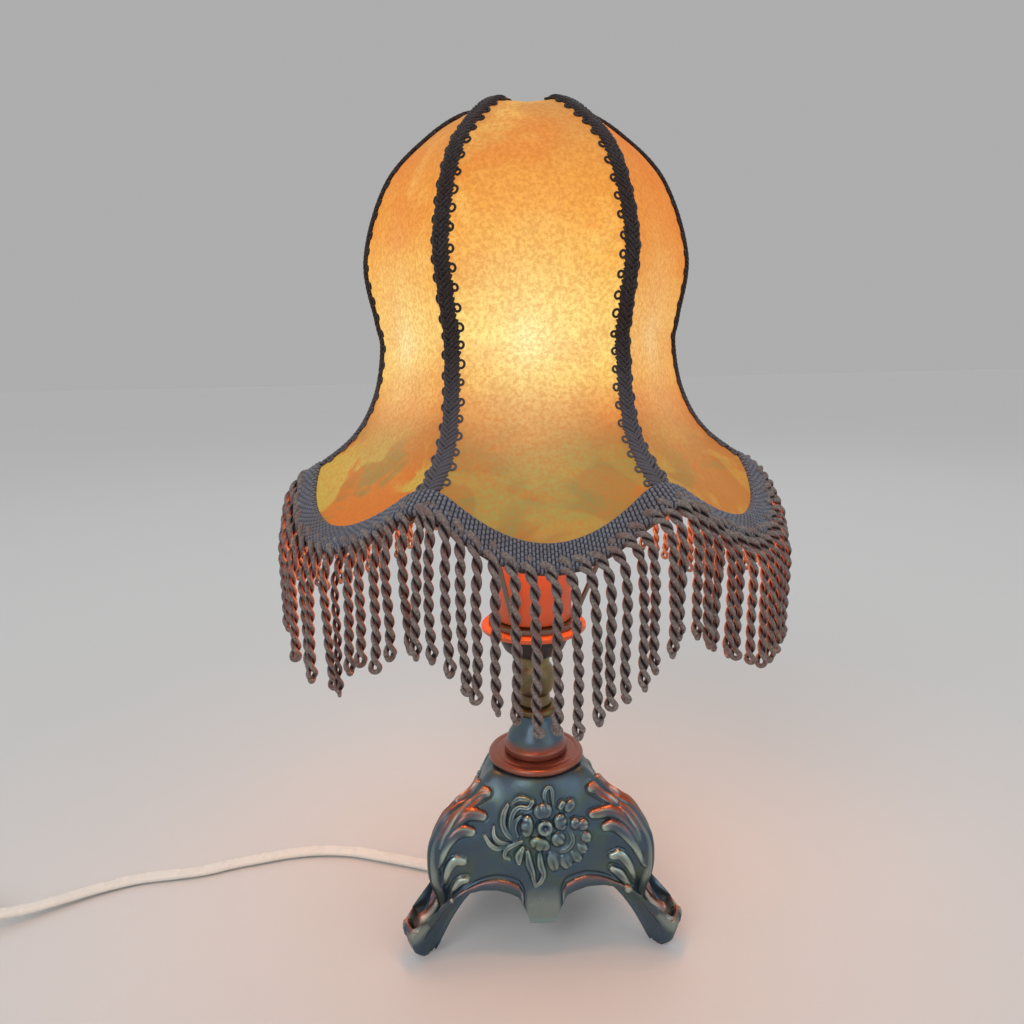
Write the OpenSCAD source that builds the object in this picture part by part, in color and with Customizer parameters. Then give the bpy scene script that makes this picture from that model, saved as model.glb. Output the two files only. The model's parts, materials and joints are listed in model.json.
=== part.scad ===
// Boudoir table lamp: a cast three-footed base, a short turned stem, a candle
// lampholder and a six-panel bell shade with braid and a bullion fringe.
// Millimetres, +Z up. The origin is on the table, on the axis of the stem.
// The front face looks towards -Y.

/* [Base casting] */
// Width of the casting across its two front toes
base_w = 106; // [103:1:110]
// Height of the casting up to the seat of the collar
base_h = 68.5; // [67:0.5:70]
// Radius of the round neck under the collar
base_neck_r = 18; // [17:0.5:19]
// Distance from the axis to the foot of each face
face_reach = 31; // [29:0.5:33]
// Distance from the axis to the knee of each leg
knee_r = 50.6; // [49.5:0.1:51.5]
// Distance from the axis to the ankle above each toe
ankle_r = 46.4; // [45.5:0.1:47.5]
// Angle over which a leg swells out of the faces
leg_angle = 9; // [8:0.5:10]
// Wall of the casting
base_wall = 2.6; // [2:0.1:3.2]
// Thickness of the roof that the stem clamps
base_roof = 4; // [3.5:0.25:5]
// Height of the arches above the table
arch_h = 27.5; // [26:0.5:29]
// Height of the tip of each centre tongue above the table
tongue_z = 14.5; // [13:0.5:16]

/* [Stem] */
// Radius of the collar disc
collar_r = 19.5; // [18:0.5:21]
// Thickness of the collar disc
collar_t = 3.5; // [3:0.25:4.5]
// Radius of the step under the dome
step_r = 12.9; // [12:0.1:14]
// Height of that step
step_t = 3.8; // [3:0.2:5]
// Height of the ogee dome above the step
dome_h = 12.7; // [11:0.1:15]
// Radius of the dome's neck
dome_neck_r = 6.6; // [6.4:0.1:8]
// Radius of the check ring
check_r = 9.5; // [8.5:0.25:11]
// Thickness of the check ring
check_t = 3.5; // [3:0.25:4.5]
// Radius of the brass ball
ball_r = 8.5; // [7.5:0.25:10]
// Height of the ball and its two necks
ball_h = 22; // [20:0.5:25]
// Outer radius of the threaded tube
tube_r = 4.9; // [4.6:0.1:5.1]
// Bore radius of the threaded tube
tube_bore_r = 3.9; // [3.7:0.1:4]

/* [Lampholder] */
// Radius of the dark cap at its rim
cap_r = 14; // [13.5:0.25:15]
// Height of the dark cap
cap_h = 10.5; // [10:0.5:13]
// Radius of the flange that carries the shade
flange_r = 21; // [20:0.5:23]
// Thickness of that flange
flange_t = 2.2; // [1.8:0.1:2.6]
// Outer radius of the threaded barrel
barrel_r = 13; // [12.8:0.1:13.2]
// Bore radius of the barrel
barrel_bore_r = 11; // [10.6:0.1:11.2]
// Height of the barrel above the flange
barrel_h = 28.3; // [27:0.1:30]
// Outer radius of the locking ring's skirt
lock_r = 15.3; // [14.8:0.1:16]
// Radius of the opening in the top of the locking ring
lock_mouth_r = 9; // [8.5:0.25:10]
// Height of the porcelain block
block_h = 12; // [11:0.5:13]
// Height of the screw shell
shell_h = 18; // [16:0.5:19]

/* [Bulb] */
// Length of the bulb from its contact to its tip
bulb_l = 100; // [94:1:104]
// Radius of the bulb's glass
bulb_r = 17.5; // [16:0.5:19]
// Crest radius of the bulb's screw cap
bulb_cap_r = 6.85; // [6.6:0.05:6.9]
// Length of the bulb's screw cap
bulb_cap_l = 24; // [22:0.5:26]

/* [Shade] */
// Radius of the ring at the top of the shade
shade_top_r = 16; // [15:0.5:18]
// Radius of the shoulder at the ribs
shoulder_r = 58.8; // [56:0.2:61]
// Radius of the waist at the ribs
waist_r = 54.4; // [52:0.2:56]
// Radius of the hem at the ribs
hem_r = 86.3; // [84:0.1:88]
// Radius of the hem at the middle of a panel
hem_mid_r = 88; // [86:0.5:90]
// Height of the shade's crest over the flange
shade_rise = 188.8; // [186:0.1:192]
// Drop from the crest to the shoulder
shoulder_drop = 48.5; // [46:0.5:51]
// Drop from the crest to the waist
waist_drop = 80.5; // [78:0.5:83]
// Drop from the crest to the hem at the ribs
hem_drop = 128; // [126:0.5:130]
// Extra drop of the hem at the middle of a panel
scallop = 15.8; // [13:0.1:18]
// Angle by which the ribs beside the front panel stand closer at the hem
rib_pinch = 4.5; // [0:0.5:6]
// Thickness of the stretched fabric
fabric_t = 0.6; // [0.5:0.05:0.8]
// Diameter of the frame wires
wire_d = 2; // [1.6:0.1:2.2]
// Width of the braid on the ribs
gimp_w = 8; // [7:0.5:9]
// Thickness of the braid on the ribs
gimp_t = 1.4; // [1:0.1:1.8]
// Width of the woven band round the hem
band_w = 8.5; // [7:0.5:10]
// Thickness of the woven band
band_t = 1.6; // [1.2:0.1:2]

/* [Fringe] */
// Number of cords in one panel's fringe
fringe_n = 17; // [13:1:18]
// Diameter of one fringe cord
fringe_d = 3.2; // [2.6:0.1:3.4]
// Height of the fringe below the band
fringe_l = 44; // [40:1:50]
// Bend radius where a fringe cord leaves the band
fringe_bend = 17.6; // [14:0.2:20]

/* [Cord] */
// Width of the flat twin cord
cord_w = 6; // [5.4:0.1:6]
// Thickness of the flat twin cord
cord_t = 3; // [2.6:0.1:3]
// Mean radius of the coiled cord
coil_r = 32.4; // [31:0.2:34]
// Step between neighbouring turns of the coil
coil_step = 3.6; // [3.55:0.05:3.8]
// Length of the cord switch
switch_l = 52; // [50:1:54]
// Width of the cord switch
switch_w = 22; // [20:0.5:24]
// Height of the cord switch
switch_h = 15; // [14:0.25:15.5]
// Radius of the switch's thumb wheel
wheel_r = 7.5; // [7.2:0.1:7.8]
// Length of the plug's moulded body
plug_l = 34; // [30:1:38]
// Width of the plug's body
plug_w = 34; // [32:0.5:38]
// Thickness of the plug's body
plug_t = 18; // [16:0.5:18]
// Distance between the plug's pins
pin_gap = 18.6; // [17.5:0.1:19.2]

/* [Hidden] */
$fn = 48;

// Clearances: seated pieces, running fits and soft pieces on other bodies
seat_gap = 0.3;
fit_gap = 0.1;
cloth_gap = 0.1;
trim_gap = 0.25;

// Colours
bronze = [0.36, 0.33, 0.24];
brass = [0.62, 0.47, 0.22];
steel = [0.72, 0.72, 0.70];
black = [0.08, 0.08, 0.08];
amber_plastic = [0.93, 0.45, 0.22];
porcelain = [0.93, 0.92, 0.88];
amber_cloth = [0.86, 0.62, 0.27];
taupe = [0.27, 0.22, 0.20];
grey_taupe = [0.42, 0.38, 0.37];
white = [0.93, 0.93, 0.90];
copper = [0.80, 0.45, 0.28];

// Heights of the stack, from the table up
roof_z = base_h - base_roof;
washer_t = 1.5;
nut_t = 3.5;
nut_flats = 14;
nut_z = roof_z - washer_t - nut_t;
tube_z = nut_z - 1.5;
relief_l = 20;
relief_grip = 6;
relief_z = tube_z + relief_grip - relief_l;
collar_z = base_h + collar_t;
dome_z = collar_z + step_t;
check_z = dome_z + dome_h;
ball_z = check_z + check_t;
cap_z = ball_z + ball_h;
cap_floor = 5;
flange_z = cap_z + cap_h;
fitter_z = flange_z + flange_t + seat_gap;
fitter_t = 2;
lock_z = fitter_z + fitter_t + seat_gap;
barrel_z = flange_z + flange_t + barrel_h;
lock_top_z = barrel_z + seat_gap + 2.7;
ledge_t = 2.5;
ledge_r = 8.5;
block_z = flange_z + ledge_t;
shell_z = block_z + block_h;
contact_t = 3;
bulb_z = shell_z + contact_t + 0.2;
tube_top_z = cap_z + cap_floor;
crest_z = flange_z + flange_t + shade_rise;

// Small helpers
function unit(v) = v / norm(v);
function mix(a, b, t) = a + (b - a) * t;
function turn(p, a) = [p.x * cos(a) - p.y * sin(a), p.x * sin(a) + p.y * cos(a), p.z];

// Catmull-Rom point at t, counted in control points, with straight ends
function spline(c, t) =
    let (n = len(c) - 1,
         i = min(floor(t), n - 1),
         f = t - i,
         p1 = c[i],
         p2 = c[i + 1],
         p0 = i > 0 ? c[i - 1] : 2 * p1 - p2,
         p3 = i < n - 1 ? c[i + 2] : 2 * p2 - p1)
    p1 + 0.5 * f * (p2 - p0 + f * (2 * p0 - 5 * p1 + 4 * p2 - p3
        + f * (3 * (p1 - p2) + p3 - p0)));

// Faces of a tube of rings with m points each, open along its length
function tube_faces(rings, m) = concat(
    [[for (j = [m - 1 : -1 : 0]) j]],
    [for (i = [0 : rings - 2], j = [0 : m - 1])
        [i * m + j, i * m + (j + 1) % m, (i + 1) * m + (j + 1) % m]],
    [for (i = [0 : rings - 2], j = [0 : m - 1])
        [i * m + j, (i + 1) * m + (j + 1) % m, (i + 1) * m + j]],
    [[for (j = [0 : m - 1]) (rings - 1) * m + j]]);

// Faces of a closed loop of rings with m points each
function loop_faces(rings, m) = [for (i = [0 : rings - 1], j = [0 : m - 1], half = [0, 1])
    let (a = i * m + j,
         b = i * m + (j + 1) % m,
         c = ((i + 1) % rings) * m + (j + 1) % m,
         d = ((i + 1) % rings) * m + j)
    half == 0 ? [a, b, c] : [a, c, d]];

// Base casting: every column of points mixes a face profile and a leg profile
feet = 3;
face_half = 180 / feet;
toe_r = base_w / 2 / sin(face_half);
foot_half_angle = 1;
tongue_angle = 9.2;
tongue_shoulder_angle = 14.8;
arch_angle = 32;
half_face_angles = [-face_half, -59, -57.5, -55.5, -53, -50, -46, -41, -36, -arch_angle,
    -26, -21, -18, -tongue_shoulder_angle, -tongue_angle];
face_angles = concat(half_face_angles, [0],
    [for (i = [len(half_face_angles) - 1 : -1 : 1]) -half_face_angles[i]]);

// Leg profile outside, from the neck over the knee and round the toe's scroll
leg_out = [
    [base_neck_r, base_h], [base_neck_r + 4.3, base_h - 1], [32, base_h - 9.2],
    [41.4, base_h - 12.8], [46, base_h - 18], [knee_r - 1, base_h - 25],
    [knee_r - 0.8, base_h - 37.5], [ankle_r, 19], [ankle_r + 1.6, 12.5], [toe_r - 9.4, 8.4],
    [toe_r - 6, 7.6], [toe_r - 3.6, 9.6], [toe_r - 2.4, 13.4], [toe_r - 1, 14.8],
    [toe_r, 11.5], [toe_r - 1.8, 4], [toe_r - 6, 0]
];
// Leg profile inside, from the heel up to the roof
leg_in = [
    [toe_r - 13.5, 0], [ankle_r - 0.8, 5], [ankle_r - base_wall, 18],
    [knee_r - 0.8 - base_wall, base_h - 37.5], [knee_r - 1.4 - base_wall, base_h - 25.5],
    [45.4 - base_wall, base_h - 20], [40.4 - base_wall, base_h - 13 - base_wall],
    [30, base_h - 9.7 - base_wall], [base_neck_r - base_wall, roof_z]
];
// How far down each point of the two profiles lies on a face
drop_out = [0, 0.03, 0.14, 0.24, 0.35, 0.46, 0.62, 0.78, 0.84, 0.87, 0.9,
    0.92, 0.94, 0.955, 0.97, 0.985, 1];
drop_in = [1, 0.93, 0.8, 0.64, 0.47, 0.36, 0.22, 0.1, 0];

function leg_share(a, drop) =
    exp(-pow(max(0, face_half - foot_half_angle - abs(a)) / leg_angle, mix(1.7, 1.2, drop)));
function edge_z(a) = lookup(abs(a), [[tongue_angle, tongue_z],
    [tongue_shoulder_angle, tongue_z + 7.5], [18, tongue_z + 10.5], [arch_angle, arch_h]]);
function face_r(z) = mix(base_neck_r, face_reach,
    pow(max(0, base_h - z) / (base_h - tongue_z), 0.55));
function casting_point(a, leg, top_z, drop, wall) =
    let (w = leg_share(a, drop),
         z = mix(top_z, edge_z(a), drop),
         r = (face_r(z) - wall) * mix(1, pow(1 / cos(a), 0.75), min(1, drop * 2)))
    [mix(r, leg[0], w), mix(z, leg[1], w)];
function casting_column(a) = concat(
    [for (i = [0 : len(leg_out) - 1]) casting_point(a, leg_out[i], base_h, drop_out[i], 0)],
    [for (i = [0 : len(leg_in) - 1]) casting_point(a, leg_in[i], roof_z, drop_in[i], base_wall)]);
casting_columns = [for (f = [0 : feet - 1], a = face_angles)
    [for (p = casting_column(a)) turn([p[0], 0, p[1]], f * 360 / feet - 90 + a)]];

module base_casting() {
    m = len(leg_out) + len(leg_in);
    n = len(casting_columns);
    points = concat([for (c = casting_columns, p = c) p], [[0, 0, base_h], [0, 0, roof_z]]);
    skin = [for (i = [0 : n - 1], j = [0 : m - 2], half = [0, 1])
        let (a = i * m + j,
             b = ((i + 1) % n) * m + j)
        half == 0 ? [a, a + 1, b + 1] : [a, b + 1, b]];
    top = [for (i = [0 : n - 1]) [n * m, i * m, ((i + 1) % n) * m]];
    under = [for (i = [0 : n - 1]) [n * m + 1, ((i + 1) % n) * m + m - 1, i * m + m - 1]];
    color(bronze) difference() {
        polyhedron(points, concat(skin, top, under), convexity = 6);
        translate([0, 0, roof_z - 1])
            cylinder(r = tube_r + fit_gap, h = base_roof + 2);
    }
}

module base_washer() {
    color(steel) translate([0, 0, roof_z - washer_t]) difference() {
        cylinder(r = 11, h = washer_t);
        translate([0, 0, -1]) cylinder(r = tube_r + fit_gap, h = washer_t + 2);
    }
}

module base_nut() {
    color(steel) translate([0, 0, nut_z]) difference() {
        cylinder(r = nut_flats / 2 / cos(30), h = nut_t, $fn = 6);
        translate([0, 0, -1]) cylinder(r = tube_r, h = nut_t + 2);
    }
}

// Direction in which the cord leaves, between the left leg and the rear leg
lead_angle = 150;
lead_dir = [cos(lead_angle), sin(lead_angle)];

// Flat section of the twin cord, across that direction: two round cores side by side
module cord_section(gap = 0) {
    rotate(lead_angle) {
        for (s = [-1, 1])
            translate([0, s * (cord_w - cord_t) / 2]) circle(d = cord_t + 2 * gap);
        square([cord_t * 0.8 + 2 * gap, cord_w - cord_t], center = true);
    }
}

module cord_relief() {
    tip_r = cord_w / 2 + 0.9;
    color(white) difference() {
        rotate_extrude() polygon([
            [0, relief_z], [tip_r, relief_z], [tip_r + 1.1, tube_z - 1.5],
            [tube_r, tube_z], [tube_bore_r - fit_gap, tube_z],
            [tube_bore_r - fit_gap, relief_z + relief_l], [0, relief_z + relief_l]
        ]);
        translate([0, 0, relief_z - 1]) linear_extrude(relief_l + 2) cord_section(fit_gap);
    }
}

module inner_cord() {
    color(white) translate([0, 0, relief_z])
        linear_extrude(tube_top_z + 1.5 - relief_z) cord_section();
}

module collar_disc() {
    rim = min(1.1, collar_t / 3);
    color(bronze) translate([0, 0, base_h]) rotate_extrude() polygon([
        [tube_r + fit_gap, 0], [collar_r - rim, 0], [collar_r, rim],
        [collar_r, collar_t - rim], [collar_r - rim, collar_t], [tube_r + fit_gap, collar_t]
    ]);
}

module neck_dome() {
    steps = 12;
    foot_r = step_r - 1;
    color(bronze) translate([0, 0, collar_z]) rotate_extrude() polygon(concat(
        [[tube_r + fit_gap, 0], [step_r, 0], [step_r, step_t - 0.8], [step_r - 0.8, step_t]],
        [for (i = [0 : steps]) [mix(dome_neck_r, foot_r, 0.5 + 0.5 * cos(180 * i / steps)),
            step_t + dome_h * i / steps]],
        [[tube_r + fit_gap, step_t + dome_h]]));
}

module check_ring() {
    bulge = check_t / 2;
    color(brass) translate([0, 0, check_z]) rotate_extrude() polygon(concat(
        [[tube_r + fit_gap, 0]],
        [for (i = [-3 : 3]) [check_r - bulge + bulge * cos(i * 30), bulge + bulge * sin(i * 30)]],
        [[tube_r + fit_gap, check_t]]));
}

module ball_spacer() {
    neck_r = dome_neck_r;
    neck_h = (ball_h - 2 * ball_r * 1.1) / 2;
    color(brass) translate([0, 0, ball_z]) rotate_extrude() polygon(concat(
        [[tube_r + fit_gap, 0], [neck_r, 0]],
        [for (i = [-5 : 5]) [max(neck_r - 0.4, ball_r * cos(i * 16)),
            ball_h / 2 + (ball_h / 2 - max(neck_h, 0.6)) * sin(i * 16)]],
        [[neck_r, ball_h], [tube_r + fit_gap, ball_h]]));
}

module threaded_tube() {
    color(steel) translate([0, 0, tube_z]) difference() {
        cylinder(r = tube_r, h = tube_top_z - tube_z);
        translate([0, 0, -1]) cylinder(r = tube_bore_r, h = tube_top_z - tube_z + 2);
    }
}

module holder_cap() {
    color(black) translate([0, 0, cap_z]) rotate_extrude() polygon([
        [tube_r, 0], [cap_r - 4.5, 0], [cap_r - 2, 2], [cap_r, cap_h - 4], [cap_r, cap_h],
        [cap_r - 2.2, cap_h], [cap_r - 2.2, cap_floor], [tube_r, cap_floor]
    ]);
}

module holder_body() {
    color(amber_plastic) translate([0, 0, flange_z]) rotate_extrude() polygon([
        [ledge_r, 0], [flange_r - 0.5, 0], [flange_r, 0.5], [flange_r, flange_t - 0.5],
        [flange_r - 0.5, flange_t], [barrel_r, flange_t], [barrel_r, flange_t + barrel_h],
        [barrel_bore_r, flange_t + barrel_h], [barrel_bore_r, ledge_t], [ledge_r, ledge_t]
    ]);
}

// Domed ring that screws down over the barrel and locks the shade
module shade_ring() {
    dome_start = 12;
    steps = 6;
    ring_h = lock_top_z - lock_z;
    top_r = lock_mouth_r + 3;
    bore = barrel_r + fit_gap;
    color(amber_plastic) translate([0, 0, lock_z]) rotate_extrude() polygon(concat(
        [[bore, 0], [lock_r, 0]],
        [for (i = [0 : steps]) [mix(top_r, lock_r, cos(90 * i / steps)),
            dome_start + (ring_h - dome_start) * sin(90 * i / steps)]],
        [[lock_mouth_r, ring_h], [lock_mouth_r, barrel_z + seat_gap - lock_z],
         [bore, barrel_z + seat_gap - lock_z]]));
}

terminal_x = 5.8;
screw_r = 1.5;
rivet_r = 1.1;

module holder_block() {
    color(porcelain) translate([0, 0, block_z]) difference() {
        cylinder(r = barrel_bore_r - fit_gap, h = block_h);
        translate([0, 0, -1]) cylinder(r = rivet_r + fit_gap, h = block_h + 2);
        for (s = [-1, 1]) translate([s * terminal_x, 0, -1])
            cylinder(r = screw_r + fit_gap, h = 6);
    }
}

module screw_shell() {
    wall = 0.5;
    seat_r = 3.6;
    clear_r = bulb_cap_r + fit_gap;
    ridges = 4;
    pitch = (shell_h - 3) / ridges;
    inside = [for (i = [0 : ridges - 1], s = [0, 1])
        [clear_r + (s == 0 ? 0 : 0.5), 3 + pitch * (i + s * 0.5)]];
    color(brass) translate([0, 0, shell_z]) rotate_extrude() polygon(concat(
        [[seat_r, 0], [clear_r + wall, 0]],
        [for (p = inside) [p[0] + wall, p[1]]],
        [[clear_r + wall, shell_h], [clear_r, shell_h]],
        [for (i = [len(inside) - 1 : -1 : 0]) inside[i]],
        [[clear_r, 0.8], [seat_r, 0.8]]));
}

module centre_contact() {
    color(brass) translate([0, 0, shell_z]) rotate_extrude() polygon([
        [0, -block_h - 1.2], [2, -block_h - 1.2], [2, -block_h], [rivet_r, -block_h],
        [rivet_r, 0], [2.8, 0], [2.8, 1.2], [1.8, contact_t], [0, contact_t]
    ]);
}

module terminal_screws() {
    head_t = 1.6;
    color(brass) for (s = [-1, 1]) translate([s * terminal_x, 0, block_z]) {
        difference() {
            union() {
                translate([0, 0, -head_t]) cylinder(r = 2.2, h = head_t);
                cylinder(r = screw_r, h = 4.5);
            }
            translate([-3, -0.3, -head_t - 1]) cube([6, 0.6, 1.6]);
        }
    }
}

// The two cores fan out from the cord's end to the terminal screws
module lead_wires() {
    wire_r = 0.8;
    start_z = tube_top_z + 1.5 + wire_r * 0.8;
    end_z = block_z - 1.6;
    color(copper) for (s = [-1, 1]) {
        start = turn([0, -s * (cord_w - cord_t) / 2, start_z], lead_angle);
        reach = [s * terminal_x, 0, end_z] - start;
        translate(start) rotate([0, acos(reach.z / norm(reach)), atan2(reach.y, reach.x)])
            cylinder(r = wire_r, h = norm(reach) - 0.7);
    }
}

glass_z = bulb_z + bulb_cap_l - 2;
glass_top_z = bulb_z + bulb_l;

module bulb_cap() {
    tip_h = 3.5;
    root_r = bulb_cap_r - 0.45;
    ridges = 5;
    thread_l = bulb_cap_l - tip_h - 3;
    color(brass) translate([0, 0, bulb_z]) rotate_extrude() polygon(concat(
        [[3.8, tip_h], [root_r, tip_h]],
        [for (i = [0 : ridges - 1], s = [0.5, 1])
            [s == 0.5 ? bulb_cap_r : root_r, tip_h + thread_l * (i + s) / ridges]],
        [[root_r, bulb_cap_l], [root_r - 0.4, bulb_cap_l],
         [root_r - 0.4, tip_h + 0.5], [3.8, tip_h + 0.5]]));
}

module bulb_contact() {
    color(black) translate([0, 0, bulb_z]) rotate_extrude() polygon([
        [0, 0], [2, 0], [2.4, 0.8], [3.6, 2.2], [3.6, 4.4], [0, 4.4]
    ]);
}

// Outline of the candle bulb: [radius, share of the glass height]
candle = [[0.33, 0], [0.36, 0.06], [0.6, 0.16], [0.88, 0.28], [1, 0.41], [0.97, 0.54],
    [0.83, 0.69], [0.6, 0.83], [0.33, 0.94], [0.12, 0.99]];
function candle_point(t, inset) =
    let (c = spline(candle, t))
    [max(0.2, c[0] * bulb_r - inset), glass_z + c[1] * (glass_top_z - glass_z - 1.5 * inset)];

module bulb_glass() {
    glass_t = 0.8;
    steps = 2 * (len(candle) - 1);
    color([0.98, 0.93, 0.82]) rotate_extrude() polygon(concat(
        [for (i = [0 : steps]) candle_point(i / 2, 0)],
        [[0, glass_top_z], [0, glass_top_z - glass_t * 2]],
        [for (i = [steps : -1 : 0]) candle_point(i / 2, glass_t)]));
}

stem_h = 18;

module bulb_stem() {
    color(porcelain) translate([0, 0, glass_z]) rotate_extrude() polygon([
        [0, 0.5], [0.33 * bulb_r - 1, 0.5], [0.33 * bulb_r - 1.2, 2], [2, 6], [1.6, stem_h - 1],
        [2.2, stem_h], [0, stem_h]
    ]);
}

module bulb_filament() {
    loop_r = 6;
    post_z = glass_z + stem_h + 0.15;
    post_h = 14;
    color(copper) {
        for (s = [-1, 1]) translate([s * 1.9, 0, post_z])
            rotate([0, s * 17, 0]) cylinder(r = 0.35, h = post_h);
        translate([0, 0, post_z + post_h * cos(17) + 0.2]) rotate([90, 0, 0])
            rotate_extrude(angle = 180) translate([loop_r, 0]) circle(r = 0.45, $fn = 16);
    }
}

// Shade profile at a rib and at the middle of a panel, [radius, height]
rib_profile = [
    [shade_top_r, crest_z - 2.5], [shade_top_r + 5, crest_z], [34.4, crest_z - 7.5],
    [shoulder_r - 8.8, crest_z - 23], [shoulder_r, crest_z - shoulder_drop],
    [mix(shoulder_r, waist_r, 0.64), mix(crest_z - shoulder_drop, crest_z - waist_drop, 0.67)],
    [waist_r, crest_z - waist_drop], [waist_r + 3.6, crest_z - waist_drop - 18],
    [hem_r - 18.8, crest_z - hem_drop + 14], [hem_r, crest_z - hem_drop]
];
flat_share = cos(30);
mid_profile = [
    [shade_top_r - 0.6, crest_z - 2.8], [shade_top_r + 3.8, crest_z - 1.2],
    [31, crest_z - 8], [(shoulder_r - 8.8) * 0.89, crest_z - 22.5],
    [shoulder_r * flat_share + 1, crest_z - shoulder_drop + 1],
    [mix(shoulder_r, waist_r, 0.64) * flat_share + 1,
        mix(crest_z - shoulder_drop, crest_z - waist_drop, 0.67)],
    [waist_r * flat_share + 1.2, crest_z - waist_drop],
    [(waist_r + 3.6) * flat_share + 2, crest_z - waist_drop - 18],
    [hem_mid_r - 25, crest_z - hem_drop + 11.5], [hem_mid_r, crest_z - hem_drop - scallop]
];
hem_v = len(rib_profile) - 1;
half_turn = 30;

// The hem runs level over each rib and swings down to the middle of each panel
hem_round = 0.18;
function hem_share(u) =
    let (near_rib = max(0, (abs(u) - 1 + hem_round) / hem_round))
    (u * u - hem_round * near_rib * near_rib) / (1 - hem_round);

// Point of a panel's middle surface: u from -1 to 1 across, v down the profile
function cloth(u, v) =
    let (r = spline(rib_profile, v),
         m = spline(mid_profile, v))
    [m[0] + (r[0] * cos(half_turn) - m[0]) * u * u, u * r[0] * sin(half_turn),
     m[1] + (r[1] - m[1]) * hem_share(u)];
function cloth_normal(u, v) =
    let (e = 0.02,
         v0 = max(0, v - e),
         v1 = min(hem_v, v + e))
    unit(cross(cloth(u, v0) - cloth(u, v1), cloth(u - e, v) - cloth(u + e, v)));
function cloth_out(u, v, d) = cloth(u, v) + d * cloth_normal(u, v);

// Below the waist the ribs beside the front and the back panel stand closer together
pinch_top = crest_z - waist_drop;
pinch_low = crest_z - hem_drop;
function pinch(angle, z) =
    let (s = min(1, max(0, (pinch_top - z) / (pinch_top - pinch_low))))
    rib_pinch * s * s * (3 - 2 * s) * sin(2 * angle) / sin(60);
function on_shade(p, angle) =
    let (q = turn(p, angle))
    turn(q, pinch(atan2(q.y, q.x), q.z));

// The same for the rib's own line, in the rib's plane
function rib_point(v, d) =
    let (e = 0.02,
         a = spline(rib_profile, max(0, v - e)),
         b = spline(rib_profile, min(hem_v, v + e)),
         t = unit(b - a),
         p = spline(rib_profile, v))
    [p[0] - t[1] * d, 0, p[1] + t[0] * d];

panel_cols = 8;
panel_steps = 2;
panel_rows = panel_steps * hem_v;
seam_share = 0.988;

function to_panel(k, p) = on_shade(p, -90 + 60 * k);
function to_rib(k, p) = on_shade(p, -60 + 60 * k);
function panel_point(k, share, v, d) = to_panel(k, cloth_out(seam_share * share, v, d));

module shade_panel(k) {
    n = panel_rows + 1;
    m = 2 * (panel_cols + 1);
    points = [for (i = [0 : panel_rows])
        let (v = i / panel_steps)
        each concat(
            [for (j = [0 : panel_cols])
                panel_point(k, 2 * j / panel_cols - 1, v, fabric_t / 2)],
            [for (j = [panel_cols : -1 : 0])
                panel_point(k, 2 * j / panel_cols - 1, v, -fabric_t / 2)])];
    ends = [for (j = [0 : panel_cols - 1]) each [
        [j, m - 1 - j, m - 2 - j], [j, m - 2 - j, j + 1],
        [(n - 1) * m + j, (n - 1) * m + m - 2 - j, (n - 1) * m + m - 1 - j],
        [(n - 1) * m + j, (n - 1) * m + j + 1, (n - 1) * m + m - 2 - j]]];
    skin = [for (i = [0 : n - 2], j = [0 : m - 1], half = [0, 1])
        let (a = i * m + j,
             b = i * m + (j + 1) % m)
        half == 0 ? [a, b, b + m] : [a, b + m, a + m]];
    color(amber_cloth) polyhedron(points, concat(skin, ends), convexity = 6);
}

// Length of cloth per step of v near the hem, and the band's top edge there
function hem_step(u) = norm(cloth(u, hem_v) - cloth(u, hem_v - 0.25)) / 0.25;
function band_top(u) = hem_v - band_w / hem_step(u);

module rib_gimp(k) {
    rows = 18;
    v0 = 0.2;
    v1 = band_top(1) - 0.04;
    lift = fabric_t / 2 + trim_gap;
    sides = [for (i = [0 : rows])
        let (v = mix(v0, v1, i / rows),
             s = 1 - gimp_w / 2 / (spline(rib_profile, v)[0] * sin(half_turn)),
             low = turn(cloth_out(s, v, lift), -half_turn),
             high = turn(cloth_out(s, v, lift + gimp_t), -half_turn))
        [low, rib_point(v, lift * 1.2), [low.x, -low.y, low.z],
         [high.x, -high.y, high.z], rib_point(v, lift * 1.2 + gimp_t), high]];
    color(taupe) polyhedron([for (s = sides, p = s) to_rib(k, p)],
        tube_faces(rows + 1, 6), convexity = 4);
}

// Frame wires are faceted tubes inside the cloth
wire_sides = 6;
function wire_ring(p, a, b, r) = [for (j = [0 : wire_sides - 1])
    p + r * (cos(j * 360 / wire_sides) * a + sin(j * 360 / wire_sides) * b)];
wire_in = fabric_t / 2 + wire_d / 2 / cos(half_turn) + 0.35;

module shade_ribs() {
    rows = 16;
    v0 = 0.55;
    v1 = hem_v - 0.14;
    rings = [for (i = [0 : rows])
        let (v = mix(v0, v1, i / rows),
             p = rib_point(v, -wire_in))
        wire_ring(p, unit(rib_point(v, 1) - rib_point(v, 0)), [0, 1, 0], wire_d / 2)];
    color(steel) for (k = [0 : 5])
        polyhedron([for (r = rings, p = r) to_rib(k, p)],
            tube_faces(rows + 1, wire_sides), convexity = 4);
}

top_ring_z = crest_z - 2.5 - fabric_t / 2 - wire_d / 2 - 1;

module shade_top_ring() {
    color(steel) translate([0, 0, top_ring_z]) rotate_extrude()
        translate([shade_top_r, 0]) circle(d = wire_d, $fn = 24);
}

module top_binding() {
    color(taupe) translate([0, 0, top_ring_z - 2.5]) difference() {
        cylinder(r = shade_top_r - wire_d / 2 - cloth_gap, h = 5.5);
        translate([0, 0, -1]) cylinder(r = shade_top_r - wire_d / 2 - cloth_gap - 1, h = 8);
    }
}

hem_cols = 8;
function hem_us() = [for (k = [0 : 5], j = [0 : hem_cols - 1]) [k, 2 * j / hem_cols - 1]];

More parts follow.
